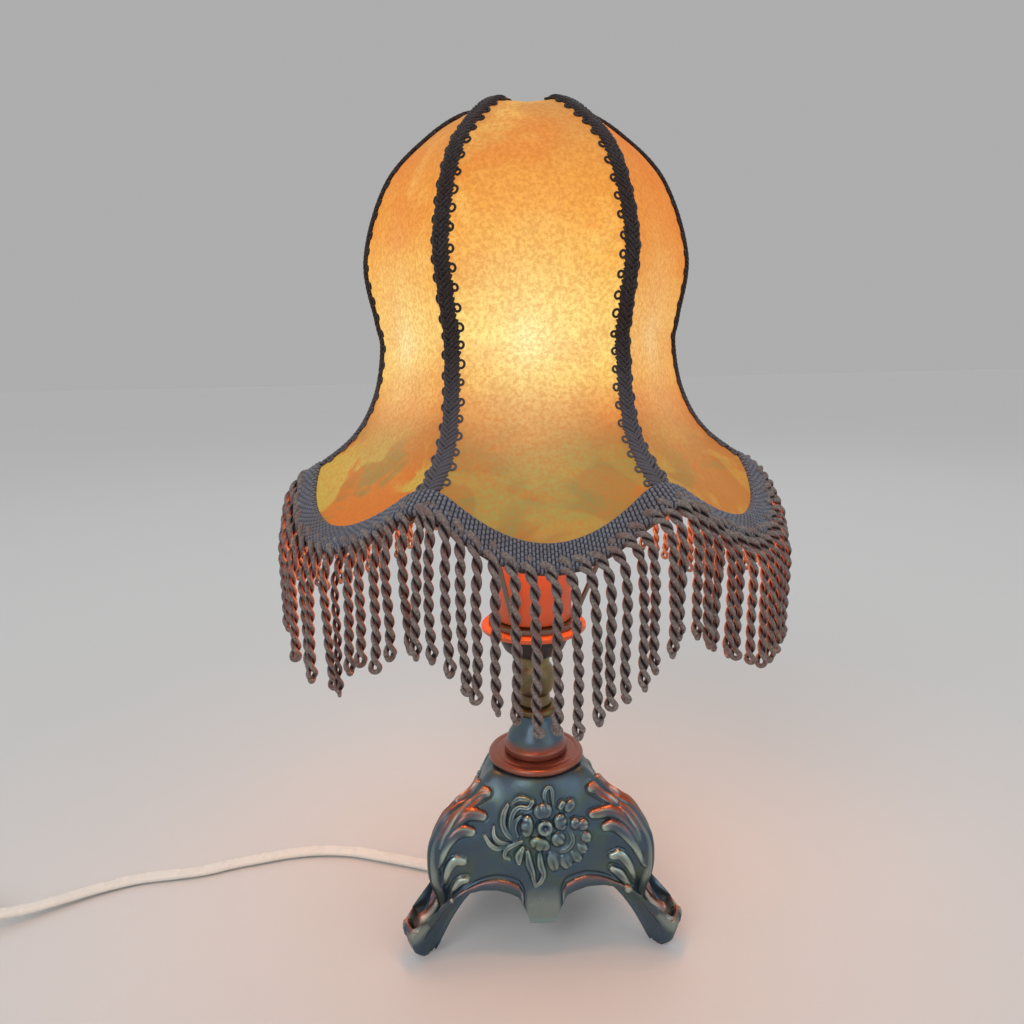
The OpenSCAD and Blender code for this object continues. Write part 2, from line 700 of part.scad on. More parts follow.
module hem_wire() {
    rings = [for (h = hem_us())
        let (u = h[1],
             n = cloth_normal(u, hem_v),
             p = cloth(u, hem_v) - (fabric_t / 2 + wire_d / 2 + 0.25) * n,
             t = [0, 1, 0],
             b = unit(cross(t, n)))
        [for (q = wire_ring(p, n, b, wire_d / 2)) to_panel(h[0], q)]];
    color(steel) polyhedron([for (r = rings, p = r) p],
        loop_faces(len(rings), wire_sides), convexity = 8);
}

module hem_band() {
    lift = fabric_t / 2 + trim_gap;
    rings = [for (h = hem_us())
        let (u = h[1],
             top_v = band_top(u),
             vs = [hem_v, (hem_v + top_v) / 2, top_v])
        [for (q = concat([for (v = vs) cloth_out(u, v, lift)],
                [for (i = [2, 1, 0]) cloth_out(u, vs[i], lift + band_t)])) to_panel(h[0], q)]];
    color(grey_taupe) polyhedron([for (r = rings, p = r) p],
        [for (f = loop_faces(len(rings), 6)) [f[2], f[1], f[0]]], convexity = 8);
}

// One fringe cord leaves the band along the flare and bends down to hang
fringe_turn = 50;
fringe_seat = 0.8;
module fringe_cord(r, z) {
    gain = fringe_bend * (1 - cos(fringe_turn));
    drop = fringe_bend * sin(fringe_turn);
    translate([r + gain - fringe_bend, 0, z - drop]) {
        rotate([90, 0, 0]) rotate_extrude(angle = fringe_turn)
            translate([fringe_bend, 0]) circle(d = fringe_d, $fn = 16);
        translate([fringe_bend, 0, drop - fringe_l])
            cylinder(d = fringe_d, h = fringe_l - drop, $fn = 16);
    }
}

module bullion_fringe() {
    color(taupe) for (k = [0 : 5], j = [0 : fringe_n - 1]) {
        u = (2 * j + 1) / fringe_n - 1;
        p = to_panel(k, cloth(u, hem_v));
        rotate([0, 0, atan2(p.y, p.x)])
            fringe_cord(norm([p.x, p.y]) + fringe_seat, p.z + fringe_seat);
    }
}

fitter_in_r = barrel_r + seat_gap;
fitter_out_r = 18;
module fitter_ring() {
    color(steel) translate([0, 0, fitter_z]) difference() {
        cylinder(r = fitter_out_r, h = fitter_t);
        translate([0, 0, -1]) cylinder(r = fitter_in_r, h = fitter_t + 2);
    }
}

// Three arms climb from the fitter ring to every second rib, at the waist
module fitter_arms() {
    foot = [fitter_out_r - wire_d / 2, 0, fitter_z + fitter_t];
    head = rib_point(hem_v - 2, -wire_in - wire_d - 0.2);
    slope = atan2(head.x - foot.x, head.z - foot.z);
    reach = norm(head - foot);
    color(steel) for (k = [0 : 2]) rotate([0, 0, 120 * k + pinch(120 * k, head.z)])
        difference() {
            translate(foot) rotate([0, slope, 0])
                translate([0, 0, -2]) cylinder(d = wire_d, h = reach + 2, $fn = 24);
            translate([0, 0, foot.z - 5]) cylinder(r = fitter_out_r + 5, h = 5);
        }
}

// Route of the cord from the relief to the switch
lead_route = [
    [0, 0, relief_z], [0, 0, relief_z - 6], [-2, 1, 29], [-6, 4, 20], [-13, 7, 12],
    [-22, 12, 6], [-33, 17, 3], [-44, 23, 2], [-56, 28, 2], [-70, 33, 2], [-85, 38, 2],
    [-100, 40, 2], [-115, 39, 2], [-128, 36, 2], [-140, 33, 2], [-152, 29, 2],
    [-165, 27, 2], [-180, 25, 2], [-195, 19, 2.5], [-208, 11, 3.5], [-219, 3.5, 5],
    [-228, -1.5, 7], [-236, -4, 8.5]
];
// Route from the switch round to the start of the coil
tail_route = [
    [-288, -4, 8.5], [-295, -4, 7.5], [-304, -7, 5.5], [-311, -14, 4.2], [-315, -24, 3.3],
    [-316, -36, 3], [-316, -52, 3], [-316, -68, 3]
];
switch_x = -288;
switch_y = -4;
switch_z = 8.5;

// Upward side of the flat cord: it leans back where the cord still comes down
function flatten(p) =
    let (k = p.x > -100 ? min(1, max(0, (p.z - 3) / 9)) : 0)
    [k * lead_dir.x, k * lead_dir.y, 1];
function route_dir(path, i) = unit(path[min(i + 1, len(path) - 1)] - path[max(i - 1, 0)]);
function flat_ring(p, t, ref, half_w, half_t) =
    let (side = unit(cross(t, ref)),
         up = cross(side, t))
    [for (j = [0 : 7]) p + half_w * cos(j * 45 + 22.5) * side + half_t * sin(j * 45 + 22.5) * up];
function smooth(route, steps) = [for (i = [0 : (len(route) - 1) * steps]) spline(route, i / steps)];

module cord_lead() {
    path = smooth(lead_route, 2);
    n = len(path);
    rings = [for (i = [0 : n - 1])
        flat_ring(path[i], i == 0 ? [0, 0, -1] : i == n - 1 ? [-1, 0, 0] : route_dir(path, i),
            flatten(path[i]), cord_w / 2, cord_t / 2)];
    color(white) polyhedron([for (r = rings, p = r) p], tube_faces(n, 8), convexity = 8);
}

module cord_tail() {
    path = smooth(tail_route, 2);
    n = len(path);
    rings = [for (i = [0 : n - 1])
        let (s = min(1, max(0, (i - 2) / (n - 6))))
        flat_ring(path[i], i == 0 ? [-1, 0, 0] : i == n - 1 ? [0, -1, 0] : route_dir(path, i),
            [0, 0, 1], mix(cord_w, cord_t, s) / 2, mix(cord_t, cord_w, s) / 2)];
    color(white) polyhedron([for (r = rings, p = r) p], tube_faces(n, 8), convexity = 6);
}

// The coil winds in on the table, climbs in a half turn and winds out on top
coil_turns_in = 3.375;
coil_turns = 2 * coil_turns_in + 0.5;
coil_layer = cord_w + 0.2;
coil_out_r = coil_r + coil_step * coil_turns_in / 2;
coil_west_x = -316;
coil_y = -74;
coil_centre = [coil_west_x + coil_out_r, coil_y, 0];
coil_low_z = 3;
coil_rings_turn = 24;
coil_sides = 6;
function coil_wind(t) = t < coil_turns_in ? t
    : t < coil_turns_in + 0.5 ? coil_turns_in
    : coil_turns - t;
function coil_radius(t) = coil_out_r - coil_step * coil_wind(t);
function coil_climb(t) = min(1, max(0, (t - coil_turns_in) / 0.5));
function coil_z(t) = coil_low_z + coil_layer * (0.5 - 0.5 * cos(180 * coil_climb(t)));
function coil_point(t) = coil_centre
    + [coil_radius(t) * cos(180 + 360 * t), coil_radius(t) * sin(180 + 360 * t), coil_z(t)];
function coil_ring(t) =
    let (a = 180 + 360 * t,
         out = [cos(a), sin(a), 0])
    [for (j = [0 : coil_sides - 1])
        let (b = j * 360 / coil_sides)
        coil_point(t) + (cord_t / 2 - 0.1) * cos(b) * out
            + (cord_w / 2 - 0.15) / cos(30) * sin(b) * [0, 0, 1]];
coil_count = round(coil_turns * coil_rings_turn);

// Least gap between neighbouring turns, beside and above each other
coil_beside = min([for (i = [0 : coil_count - coil_rings_turn])
    let (p = coil_point(i / coil_rings_turn),
         q = coil_point((i + coil_rings_turn) / coil_rings_turn))
    abs(p.z - q.z) < 1 ? norm(p - q) : coil_r]) - cord_t + 0.2;
coil_above = coil_layer - cord_w + 0.3;
echo(coil_gap_beside = coil_beside, coil_gap_above = coil_above);

module cord_coil() {
    start = [for (p = coil_ring(0)) p + [0, cord_w, 0]];
    end_t = coil_count / coil_rings_turn;
    stop = [for (p = coil_ring(end_t)) p + [cord_w, 0, 0]];
    rings = concat([start], [for (i = [0 : coil_count]) coil_ring(i / coil_rings_turn)], [stop]);
    color(white) polyhedron([for (r = rings, p = r) p],
        tube_faces(len(rings), coil_sides), convexity = 12);
}

// Cord switch: two moulded halves, a thumb wheel on an axle and two screws
module switch_outline(inset = 0) {
    end_w = cord_w + 6;
    nose = 8;
    polygon([
        [inset, -end_w / 2 + inset], [nose, -switch_w / 2 + inset],
        [switch_l - nose, -switch_w / 2 + inset], [switch_l - inset, -end_w / 2 + inset],
        [switch_l - inset, end_w / 2 - inset], [switch_l - nose, switch_w / 2 - inset],
        [nose, switch_w / 2 - inset], [inset, end_w / 2 - inset]
    ]);
}
wheel_t = 4;
axle_r = 1.25;
screw_x = 15;
module at_switch() {
    translate([switch_x, switch_y, 0]) children();
}
module wheel_slot(gap) {
    translate([switch_l / 2 - wheel_r - gap, -wheel_t / 2 - gap, switch_z - wheel_r - gap])
        cube([2 * (wheel_r + gap), wheel_t + 2 * gap, 2 * (wheel_r + gap)]);
}

module switch_base() {
    color(white) at_switch() difference() {
        linear_extrude(switch_z) switch_outline();
        wheel_slot(0.4);
        translate([switch_l / 2, 0, switch_z]) rotate([90, 0, 0])
            cylinder(r = axle_r + 0.02, h = 14, center = true);
        for (s = [-1, 1]) translate([switch_l / 2 + s * screw_x, 0, -1])
            cylinder(r = 1.3, h = switch_h);
    }
}

module switch_cover() {
    color(white) at_switch() difference() {
        union() {
            translate([0, 0, switch_z]) linear_extrude(switch_h - switch_z - 2) switch_outline();
            translate([0, 0, switch_h - 2]) linear_extrude(2) switch_outline(1);
        }
        wheel_slot(0.4);
        translate([switch_l / 2, 0, switch_z]) rotate([90, 0, 0])
            cylinder(r = axle_r + 0.02, h = 14, center = true);
        for (s = [-1, 1]) translate([switch_l / 2 + s * screw_x, 0, switch_z - 1]) {
            cylinder(r = 1.3, h = switch_h);
            translate([0, 0, switch_h - switch_z - 1]) cylinder(r = 2.6, h = 5);
        }
    }
}

module switch_wheel() {
    teeth = 24;
    color(grey_taupe) at_switch() translate([switch_l / 2, 0, switch_z]) rotate([90, 0, 0])
        difference() {
            cylinder(r = wheel_r, h = wheel_t, center = true);
            cylinder(r = axle_r + 0.05, h = wheel_t + 2, center = true);
            for (i = [0 : teeth - 1]) rotate([0, 0, i * 360 / teeth])
                translate([wheel_r, 0, 0]) cylinder(r = 0.4, h = wheel_t + 2, center = true, $fn = 16);
        }
}

module switch_axle() {
    color(steel) at_switch() translate([switch_l / 2, 0, switch_z]) rotate([90, 0, 0])
        cylinder(r = axle_r, h = 13.6, center = true);
}

module switch_screws() {
    color(steel) at_switch() for (s = [-1, 1])
        translate([switch_l / 2 + s * screw_x, 0, 0]) difference() {
            union() {
                translate([0, 0, 1]) cylinder(r = 1.25, h = switch_h - 3);
                translate([0, 0, switch_h - 2]) cylinder(r = 2.4, h = 1.4);
            }
            translate([-3, -0.35, switch_h - 1.2]) cube([6, 0.7, 2]);
        }
}

// Two-pin plug with a tapered relief, lying beside the coil
plug_z = coil_low_z + coil_layer;
plug_x = coil_centre.x + cord_w;
plug_y = coil_centre.y - coil_out_r;
plug_relief_l = 22;

module plug_body() {
    corner = 5;
    color(white) translate([plug_x, plug_y, plug_z]) {
        rotate([0, 90, 0]) cylinder(r1 = cord_w / 2 + 0.9, r2 = 6, h = plug_relief_l);
        translate([plug_relief_l, 0, 0]) rotate([90, 0, 90])
            linear_extrude(plug_l) polygon([
                [-plug_w / 2 + corner, -plug_t / 2], [plug_w / 2 - corner, -plug_t / 2],
                [plug_w / 2, -plug_t / 2 + corner], [plug_w / 2, plug_t / 2 - corner],
                [plug_w / 2 - corner, plug_t / 2], [-plug_w / 2 + corner, plug_t / 2],
                [-plug_w / 2, plug_t / 2 - corner], [-plug_w / 2, -plug_t / 2 + corner]
            ]);
    }
}

module plug_pins() {
    pin_r = 2;
    pin_l = 19;
    color(brass) for (s = [-1, 1])
        translate([plug_x + plug_relief_l + plug_l, plug_y + s * pin_gap / 2, plug_z])
            rotate([0, 90, 0]) {
                cylinder(r = pin_r, h = pin_l - 1);
                translate([0, 0, pin_l - 1]) cylinder(r1 = pin_r, r2 = pin_r - 0.8, h = 1);
            }
}

base_casting();
base_washer();
base_nut();
cord_relief();
inner_cord();
collar_disc();
neck_dome();
check_ring();
ball_spacer();
threaded_tube();
holder_cap();
holder_body();
shade_ring();
holder_block();
screw_shell();
centre_contact();
terminal_screws();
lead_wires();
bulb_cap();
bulb_contact();
bulb_glass();
bulb_stem();
bulb_filament();
fitter_ring();
fitter_arms();
shade_ribs();
shade_top_ring();
hem_wire();
for (k = [0 : 5]) {
    shade_panel(k);
    rib_gimp(k);
}
top_binding();
hem_band();
bullion_fringe();
cord_lead();
switch_base();
switch_cover();
switch_wheel();
switch_axle();
switch_screws();
cord_tail();
cord_coil();
plug_body();
plug_pins();
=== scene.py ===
"""Boudoir lamp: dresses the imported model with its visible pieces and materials.

Lengths are in millimetres inside the functions and become metres in make().
"""
import json
from math import acos, atan2, cos, degrees, pi, radians, sin, sqrt

import bpy
import numpy as np
from mathutils import Matrix, Vector


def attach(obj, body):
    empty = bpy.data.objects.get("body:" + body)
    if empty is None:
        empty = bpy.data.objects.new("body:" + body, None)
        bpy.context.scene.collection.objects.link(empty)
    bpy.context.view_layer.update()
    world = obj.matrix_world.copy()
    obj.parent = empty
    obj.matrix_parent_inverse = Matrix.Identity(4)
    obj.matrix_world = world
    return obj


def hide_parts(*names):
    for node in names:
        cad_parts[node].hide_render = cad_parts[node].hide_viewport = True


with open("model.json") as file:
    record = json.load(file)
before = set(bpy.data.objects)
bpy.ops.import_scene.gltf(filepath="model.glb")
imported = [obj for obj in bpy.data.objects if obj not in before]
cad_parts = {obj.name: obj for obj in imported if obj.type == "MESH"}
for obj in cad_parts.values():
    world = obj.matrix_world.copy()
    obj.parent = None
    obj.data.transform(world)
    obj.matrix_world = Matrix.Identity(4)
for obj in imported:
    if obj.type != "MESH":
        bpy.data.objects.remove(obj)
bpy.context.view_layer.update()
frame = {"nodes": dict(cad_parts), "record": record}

scene = bpy.context.scene
nodes = frame["nodes"]
MM = 0.001
rng = np.random.default_rng(7)

# Camera: the photograph's view, from the front, a little above the shade's waist
CAM_AZIMUTH = -3.5
CAM_YAW = -2.05
CAM_PITCH = 10.7
CAM_ROLL = -1.3
CAM_DISTANCE = 0.300
CAM_HEIGHT = 0.230
CAM_FOCAL_PX = 780.0
IMAGE_PX = 1024.0
SENSOR_MM = 36.0
CENTRE_SHIFT_PX = 4.0


def add_camera():
    data = bpy.data.cameras.new("camera")
    camera = bpy.data.objects.new("camera", data)
    scene.collection.objects.link(camera)
    azimuth, yaw, pitch = radians(CAM_AZIMUTH), radians(CAM_YAW), radians(CAM_PITCH)
    place = Vector((CAM_DISTANCE * sin(azimuth), -CAM_DISTANCE * cos(azimuth), CAM_HEIGHT))
    ahead = Vector((-sin(yaw) * cos(pitch), cos(yaw) * cos(pitch), -sin(pitch)))
    right = Vector((cos(yaw), sin(yaw), 0))
    up = right.cross(ahead)
    turn = Matrix((right, up, -ahead)).transposed() @ Matrix.Rotation(radians(CAM_ROLL), 3, "Z")
    camera.matrix_world = Matrix.Translation(place) @ turn.to_4x4()
    data.sensor_width = SENSOR_MM
    data.lens = SENSOR_MM * CAM_FOCAL_PX / IMAGE_PX
    data.shift_y = -CENTRE_SHIFT_PX / IMAGE_PX
    data.clip_start = 0.01
    scene.camera = camera


add_camera()


# Mesh helpers
def make(name, verts, faces, material, body, smooth=True, replaces=()):
    """A mesh object from millimetre points that rides on a body."""
    mesh = bpy.data.meshes.new(name)
    mesh.from_pydata((np.asarray(verts, dtype=float) * MM).tolist(), [], faces)
    mesh.update()
    if smooth:
        mesh.polygons.foreach_set("use_smooth", [True] * len(mesh.polygons))
    obj = bpy.data.objects.new(name, mesh)
    scene.collection.objects.link(obj)
    if material:
        mesh.materials.append(material)
    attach(obj, body)
    if replaces:
        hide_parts(*replaces)
    return obj


def grid_faces(rows, cols, wrap_cols=False, wrap_rows=False, start=0, flip=False):
    """Quads over a grid of points stored row by row."""
    i = np.arange(rows if wrap_rows else rows - 1)[:, None]
    j = np.arange(cols if wrap_cols else cols - 1)[None, :]
    a = i * cols + j
    b = i * cols + (j + 1) % cols
    c = ((i + 1) % rows) * cols + (j + 1) % cols
    d = ((i + 1) % rows) * cols + j
    order = (d, c, b, a) if flip else (a, b, c, d)
    return (np.stack([q.ravel() for q in order], 1) + start).tolist()


class Parts:
    """Collects many small solids into one mesh."""

    def __init__(self):
        self.verts = []
        self.faces = []
        self.count = 0

    def add(self, verts, faces):
        self.verts.append(verts)
        self.faces.extend([[k + self.count for k in f] for f in faces])
        self.count += len(verts)

    def points(self):
        return np.concatenate(self.verts)


def unit(v):
    v = np.asarray(v, dtype=float)
    return v / np.maximum(np.linalg.norm(v, axis=-1, keepdims=True), 1e-9)


def spline(control, t):
    """Catmull-Rom curve through the control points, t counted in points."""
    c = np.asarray(control, dtype=float)
    n = len(c) - 1
    t = np.clip(np.asarray(t, dtype=float), 0, n)
    i = np.minimum(t.astype(int), n - 1)
    f = (t - i)[..., None]
    p1, p2 = c[i], c[i + 1]
    p0 = np.where((i > 0)[..., None], c[np.maximum(i - 1, 0)], 2 * p1 - p2)
    p3 = np.where((i < n - 1)[..., None], c[np.minimum(i + 2, n)], 2 * p2 - p1)
    return p1 + 0.5 * f * (p2 - p0 + f * (2 * p0 - 5 * p1 + 4 * p2 - p3
                                          + f * (3 * (p1 - p2) + p3 - p0)))


def turned(points, angle):
    """Points turned about Z by an angle in degrees."""
    c, s = cos(radians(angle)), sin(radians(angle))
    p = np.asarray(points, dtype=float)
    return np.stack([p[..., 0] * c - p[..., 1] * s, p[..., 0] * s + p[..., 1] * c,
                     p[..., 2]], -1)


def tube(path, radius, sides, ref, flat=1.0, closed=False):
    """Points and faces of a tube along a path; flat squeezes it along ref."""
    path = np.asarray(path, dtype=float)
    n = len(path)
    if closed:
        along = np.roll(path, -1, 0) - np.roll(path, 1, 0)
    else:
        along = np.gradient(path, axis=0)
    along = unit(along)
    side = unit(np.cross(along, np.broadcast_to(ref, path.shape)))
    up = np.cross(side, along)
    radius = np.broadcast_to(np.asarray(radius, dtype=float), (n,))[:, None, None]
    angle = np.arange(sides) * 2 * pi / sides
    ring = (np.cos(angle)[None, :, None] * side[:, None, :]
            + flat * np.sin(angle)[None, :, None] * up[:, None, :])
    verts = (path[:, None, :] + radius * ring).reshape(-1, 3)
    faces = grid_faces(n, sides, wrap_cols=True, wrap_rows=closed)
    if not closed:
        faces.append(list(range(sides))[::-1])
        faces.append([(n - 1) * sides + k for k in range(sides)])
    return verts, faces


def lathe(name, profile, material, body, replaces=(), segments=128):
    """A turned piece: a closed outline of [radius, height] round the Z axis."""
    profile = np.asarray(profile, dtype=float)
    angle = np.arange(segments) * 2 * pi / segments
    rows = len(profile)
    verts = np.stack([profile[:, None, 0] * np.cos(angle), profile[:, None, 0] * np.sin(angle),
                      np.broadcast_to(profile[:, None, 1], (rows, segments))], -1)
    faces = grid_faces(rows, segments, wrap_cols=True, wrap_rows=True)
    return make(name, verts.reshape(-1, 3), faces, material, body, replaces=replaces)


def rounded(corners, radius=0.5, steps=4):
    """A closed outline with every corner rounded by up to the radius."""
    pts = np.asarray(corners, dtype=float)
    out = []
    for k, p in enumerate(pts):
        before, after = pts[k - 1] - p, pts[(k + 1) % len(pts)] - p
        reach = min(radius, 0.45 * np.linalg.norm(before), 0.45 * np.linalg.norm(after))
        a, b = p + unit(before) * reach, p + unit(after) * reach
        for s in range(steps + 1):
            t = s / steps
            out.append((1 - t) ** 2 * a + 2 * t * (1 - t) * p + t * t * b)
    return np.array(out)


# Material helpers
def srgb(r, g, b):
    """A colour as it looks on screen, 0 to 255, as linear values."""
    def linear(v):
        v /= 255
        return v / 12.92 if v <= 0.04045 else ((v + 0.055) / 1.055) ** 2.4
    return (linear(r), linear(g), linear(b), 1.0)


class Look:
    """A Principled material with a few shortcuts for its nodes."""

    def __init__(self, name, color, roughness=0.5, metallic=0.0, **sockets):
        self.material = bpy.data.materials.new(name)
        self.material.use_nodes = True
        self.tree = self.material.node_tree
        self.shader = self.tree.nodes["Principled BSDF"]
        self.place = self.node("ShaderNodeTexCoord").outputs["Object"]
        self.set("Base Color", color)
        self.set("Roughness", roughness)
        self.set("Metallic", metallic)
        for key, value in sockets.items():
            self.set(key.replace("_", " "), value)

    def node(self, kind, **settings):
        node = self.tree.nodes.new(kind)
        for key, value in settings.items():
            setattr(node, key, value)
        return node

    def feed(self, socket, value):
        if isinstance(value, bpy.types.NodeSocket):
            self.tree.links.new(value, socket)
        else:
            socket.default_value = value

    def set(self, name, value):
        self.feed(self.shader.inputs[name], value)

    def scaled(self, scale):
        """The object coordinates stretched by a scale a side."""
        node = self.node("ShaderNodeMapping")
        node.inputs["Scale"].default_value = scale
        self.feed(node.inputs["Vector"], self.place)
        return node.outputs[0]

    def noise(self, scale, detail=3.0, roughness=0.55, stretch=(1, 1, 1), distortion=0.0):
        node = self.node("ShaderNodeTexNoise")
        self.feed(node.inputs["Vector"], self.scaled(stretch))
        node.inputs["Scale"].default_value = scale
        node.inputs["Detail"].default_value = detail
        node.inputs["Roughness"].default_value = roughness
        node.inputs["Distortion"].default_value = distortion
        return node.outputs[0]

    def height(self):
        node = self.node("ShaderNodeSeparateXYZ")
        self.feed(node.inputs[0], self.place)
        return node.outputs[2]

    def math(self, operation, a, b=0.0, clamp=False):
        node = self.node("ShaderNodeMath", operation=operation, use_clamp=clamp)
        self.feed(node.inputs[0], a)
        self.feed(node.inputs[1], b)
        return node.outputs[0]

    def spread(self, value, low, high, to_low=0.0, to_high=1.0):
        node = self.node("ShaderNodeMapRange")
        for key, v in zip(("Value", "From Min", "From Max", "To Min", "To Max"),
                          (value, low, high, to_low, to_high)):
            self.feed(node.inputs[key], v)
        return node.outputs[0]

    def ramp(self, value, stops):
        node = self.node("ShaderNodeValToRGB")
        elements = node.color_ramp.elements
        while len(elements) < len(stops):
            elements.new(0.5)
        for element, (position, color) in zip(elements, stops):
            element.position = position
            element.color = color
        self.feed(node.inputs[0], value)
        return node.outputs[0]

    def mix(self, factor, a, b, blend="MIX"):
        node = self.node("ShaderNodeMix", data_type="RGBA", blend_type=blend)
        self.feed(node.inputs["Factor"], factor)
        self.feed(node.inputs[6], a)
        self.feed(node.inputs[7], b)
        return node.outputs[2]

    def attribute(self, name):
        return self.node("ShaderNodeAttribute", attribute_name=name).outputs["Fac"]

    def bump(self, height, distance, strength=1.0):
        node = self.node("ShaderNodeBump")
        node.inputs["Strength"].default_value = strength
        node.inputs["Distance"].default_value = distance
        self.feed(node.inputs["Height"], height)
        self.feed(self.shader.inputs["Normal"], node.outputs[0])


def antique_bronze():
    """Dark bronze: blue-grey ground, darker in the hollows, lighter greenish raised edges that are
    partly worn metal and partly a painted highlight, and a painted orange glow of the bulb's light.
    """
    look = Look("antique_bronze", srgb(84, 96, 102), metallic=0.8)
    tone = look.mix(look.noise(30, 4), srgb(60, 84, 103), srgb(92, 107, 117))
    patina = look.mix(look.spread(look.noise(90, 5), 0.5, 0.75), tone, srgb(88, 108, 90))
    # Lighter on raised relief, partly worn metal and partly a painted highlight; darker in the
    # hollows.
    wear_and_highlight = look.spread(look.attribute("wear_and_highlight"), 0.53, 0.74, 0.0, 0.9)
    rubbed_and_highlit = look.mix(wear_and_highlight, patina, srgb(168, 188, 178))
    darker_in_hollows = look.spread(look.attribute("wear_and_highlight"), 0.46, 0.26)
    toned_relief = look.mix(darker_in_hollows, rubbed_and_highlit, srgb(30, 36, 42))
    # Painted orange glow: the bulb's light on upward faces, as marked on the mesh.
    look.set("Base Color", look.mix(look.attribute("painted_bulb_glow"), toned_relief, srgb(170, 92, 58)))
    look.set("Roughness", look.spread(look.noise(90, 5), 0.3, 0.7, 0.24, 0.38))
    look.bump(look.noise(700, 4), 0.00012, 0.4)
    return look.material


def aged_brass(name, color, dark):
    look = Look(name, color, metallic=0.9)
    look.set("Base Color", look.mix(look.spread(look.noise(60, 5), 0.35, 0.7), color, dark))
    look.set("Roughness", look.spread(look.noise(140, 4), 0.3, 0.7, 0.24, 0.42))
    look.bump(look.noise(1200, 3), 0.00005, 0.4)
    return look.material


def plated_steel():
    look = Look("plated_steel", srgb(122, 116, 106), metallic=1.0)
    look.set("Roughness", look.spread(look.noise(300, 4), 0.3, 0.7, 0.25, 0.45))
    look.bump(look.noise(1500, 3), 0.00003, 0.4)
    return look.material


def plastic(name, color, dark, roughness=0.3, grain=0.00002, **sockets):
    look = Look(name, color, **sockets)
    look.set("Base Color", look.mix(look.spread(look.noise(35, 3), 0.3, 0.8), color, dark))
    look.set("Roughness", look.spread(look.noise(200, 3), 0.3, 0.7, roughness, roughness + 0.12))
    look.bump(look.noise(1800, 2), grain, 0.5)
    return look.material


def lit_plastic():
    """Amber plastic of the lampholder, with a painted glow of the bulb's light on it."""
    look = Look("amber_plastic", srgb(190, 88, 50), roughness=0.4, Emission_Strength=0.08)
    glow = look.mix(look.noise(40, 3), srgb(226, 92, 44), srgb(236, 112, 58))
    look.set("Base Color", look.mix(look.noise(60, 3), srgb(178, 79, 42), srgb(194, 94, 51)))
    look.set("Emission Color", glow)
    look.bump(look.noise(700, 3), 0.00003, 0.4)
    return look.material


def amber_cloth():
    """Translucent suede cloth under a painted glow that stands in for the bulb's light shining
    through it: mottled, brightest level with the bulb.
    """
    look = Look("amber_cloth", srgb(128, 92, 50), roughness=0.9, Emission_Strength=1.05,
                Specular_IOR_Level=0.1)
    wave = look.math("MULTIPLY", look.math("SUBTRACT", look.noise(30, 4), 0.5), 0.02)
    level = look.spread(look.math("ADD", look.height(), wave), 0.168, 0.318)
    deep = look.attribute("deep")
    lit = look.ramp(level, [
        (0.04, srgb(98, 92, 50)), (0.11, srgb(96, 88, 48)), (0.16, srgb(106, 84, 42)),
        (0.21, srgb(132, 86, 42)), (0.27, srgb(170, 98, 46)), (0.33, srgb(208, 132, 58)),
        (0.39, srgb(244, 196, 92)), (0.46, srgb(252, 220, 120)), (0.54, srgb(248, 204, 100)),
        (0.63, srgb(240, 176, 72)), (0.71, srgb(234, 156, 60)), (0.78, srgb(228, 152, 62)),
        (0.84, srgb(216, 146, 68)), (0.96, srgb(190, 138, 78))])
    high_part = look.spread(level, 0.26, 0.42)
    blotch = look.spread(look.noise(34, 3, 0.5, stretch=(1, 1, 1.8), distortion=0.5), 0.48, 0.62)
    lit = look.mix(look.math("MULTIPLY", blotch, 0.34), lit, srgb(222, 104, 26))
    pale = look.spread(look.noise(58, 3, 0.5), 0.54, 0.7)
    pale = look.math("MULTIPLY", look.math("MULTIPLY", pale, high_part), 0.35)
    lit = look.mix(pale, lit, srgb(252, 210, 112))
    low_part = look.spread(level, 0.3, 0.18)
    patches = look.noise(30, 3, 0.5, stretch=(1, 1, 1.6), distortion=0.6)
    olive = look.math("MULTIPLY", look.spread(patches, 0.42, 0.47), low_part)
    lit = look.mix(look.math("MULTIPLY", olive, 0.8), lit, srgb(98, 108, 60))
    mottled = look.math("MULTIPLY", look.attribute("mottle"), low_part)
    streaks = look.spread(look.noise(27, 3, 0.5, stretch=(1, 1, 2.0), distortion=0.4), 0.47, 0.53)
    lit = look.mix(look.math("MULTIPLY", streaks, mottled), lit, srgb(190, 92, 30))
    yellow = look.spread(look.noise(38, 3, 0.5, stretch=(1, 1, 1.5), distortion=0.5), 0.5, 0.56)
    lit = look.mix(look.math("MULTIPLY", yellow, mottled), lit, srgb(172, 160, 72))
    lit = look.mix(look.attribute("hot"), lit, srgb(255, 246, 176))
    upper = look.spread(level, 0.2, 0.4, 0.2, 0.5)
    lit = look.mix(look.math("MULTIPLY", deep, upper), lit, srgb(204, 96, 34))
    grain = look.noise(760, 4, 0.7)
    lit = look.mix(look.spread(grain, 0.4, 0.6, 0.42, 0.0), lit, srgb(170, 84, 20))
    # The emission colour is the painted glow; the base colour below is the cloth's own.
    look.set("Emission Color", lit)
    look.set("Base Color", look.mix(look.noise(60, 4), srgb(104, 72, 36), srgb(122, 86, 46)))
    look.bump(look.math("ADD", grain, look.noise(300, 4, 0.7, stretch=(1, 1, 1.6))), 0.0003, 0.6)
    return look.material


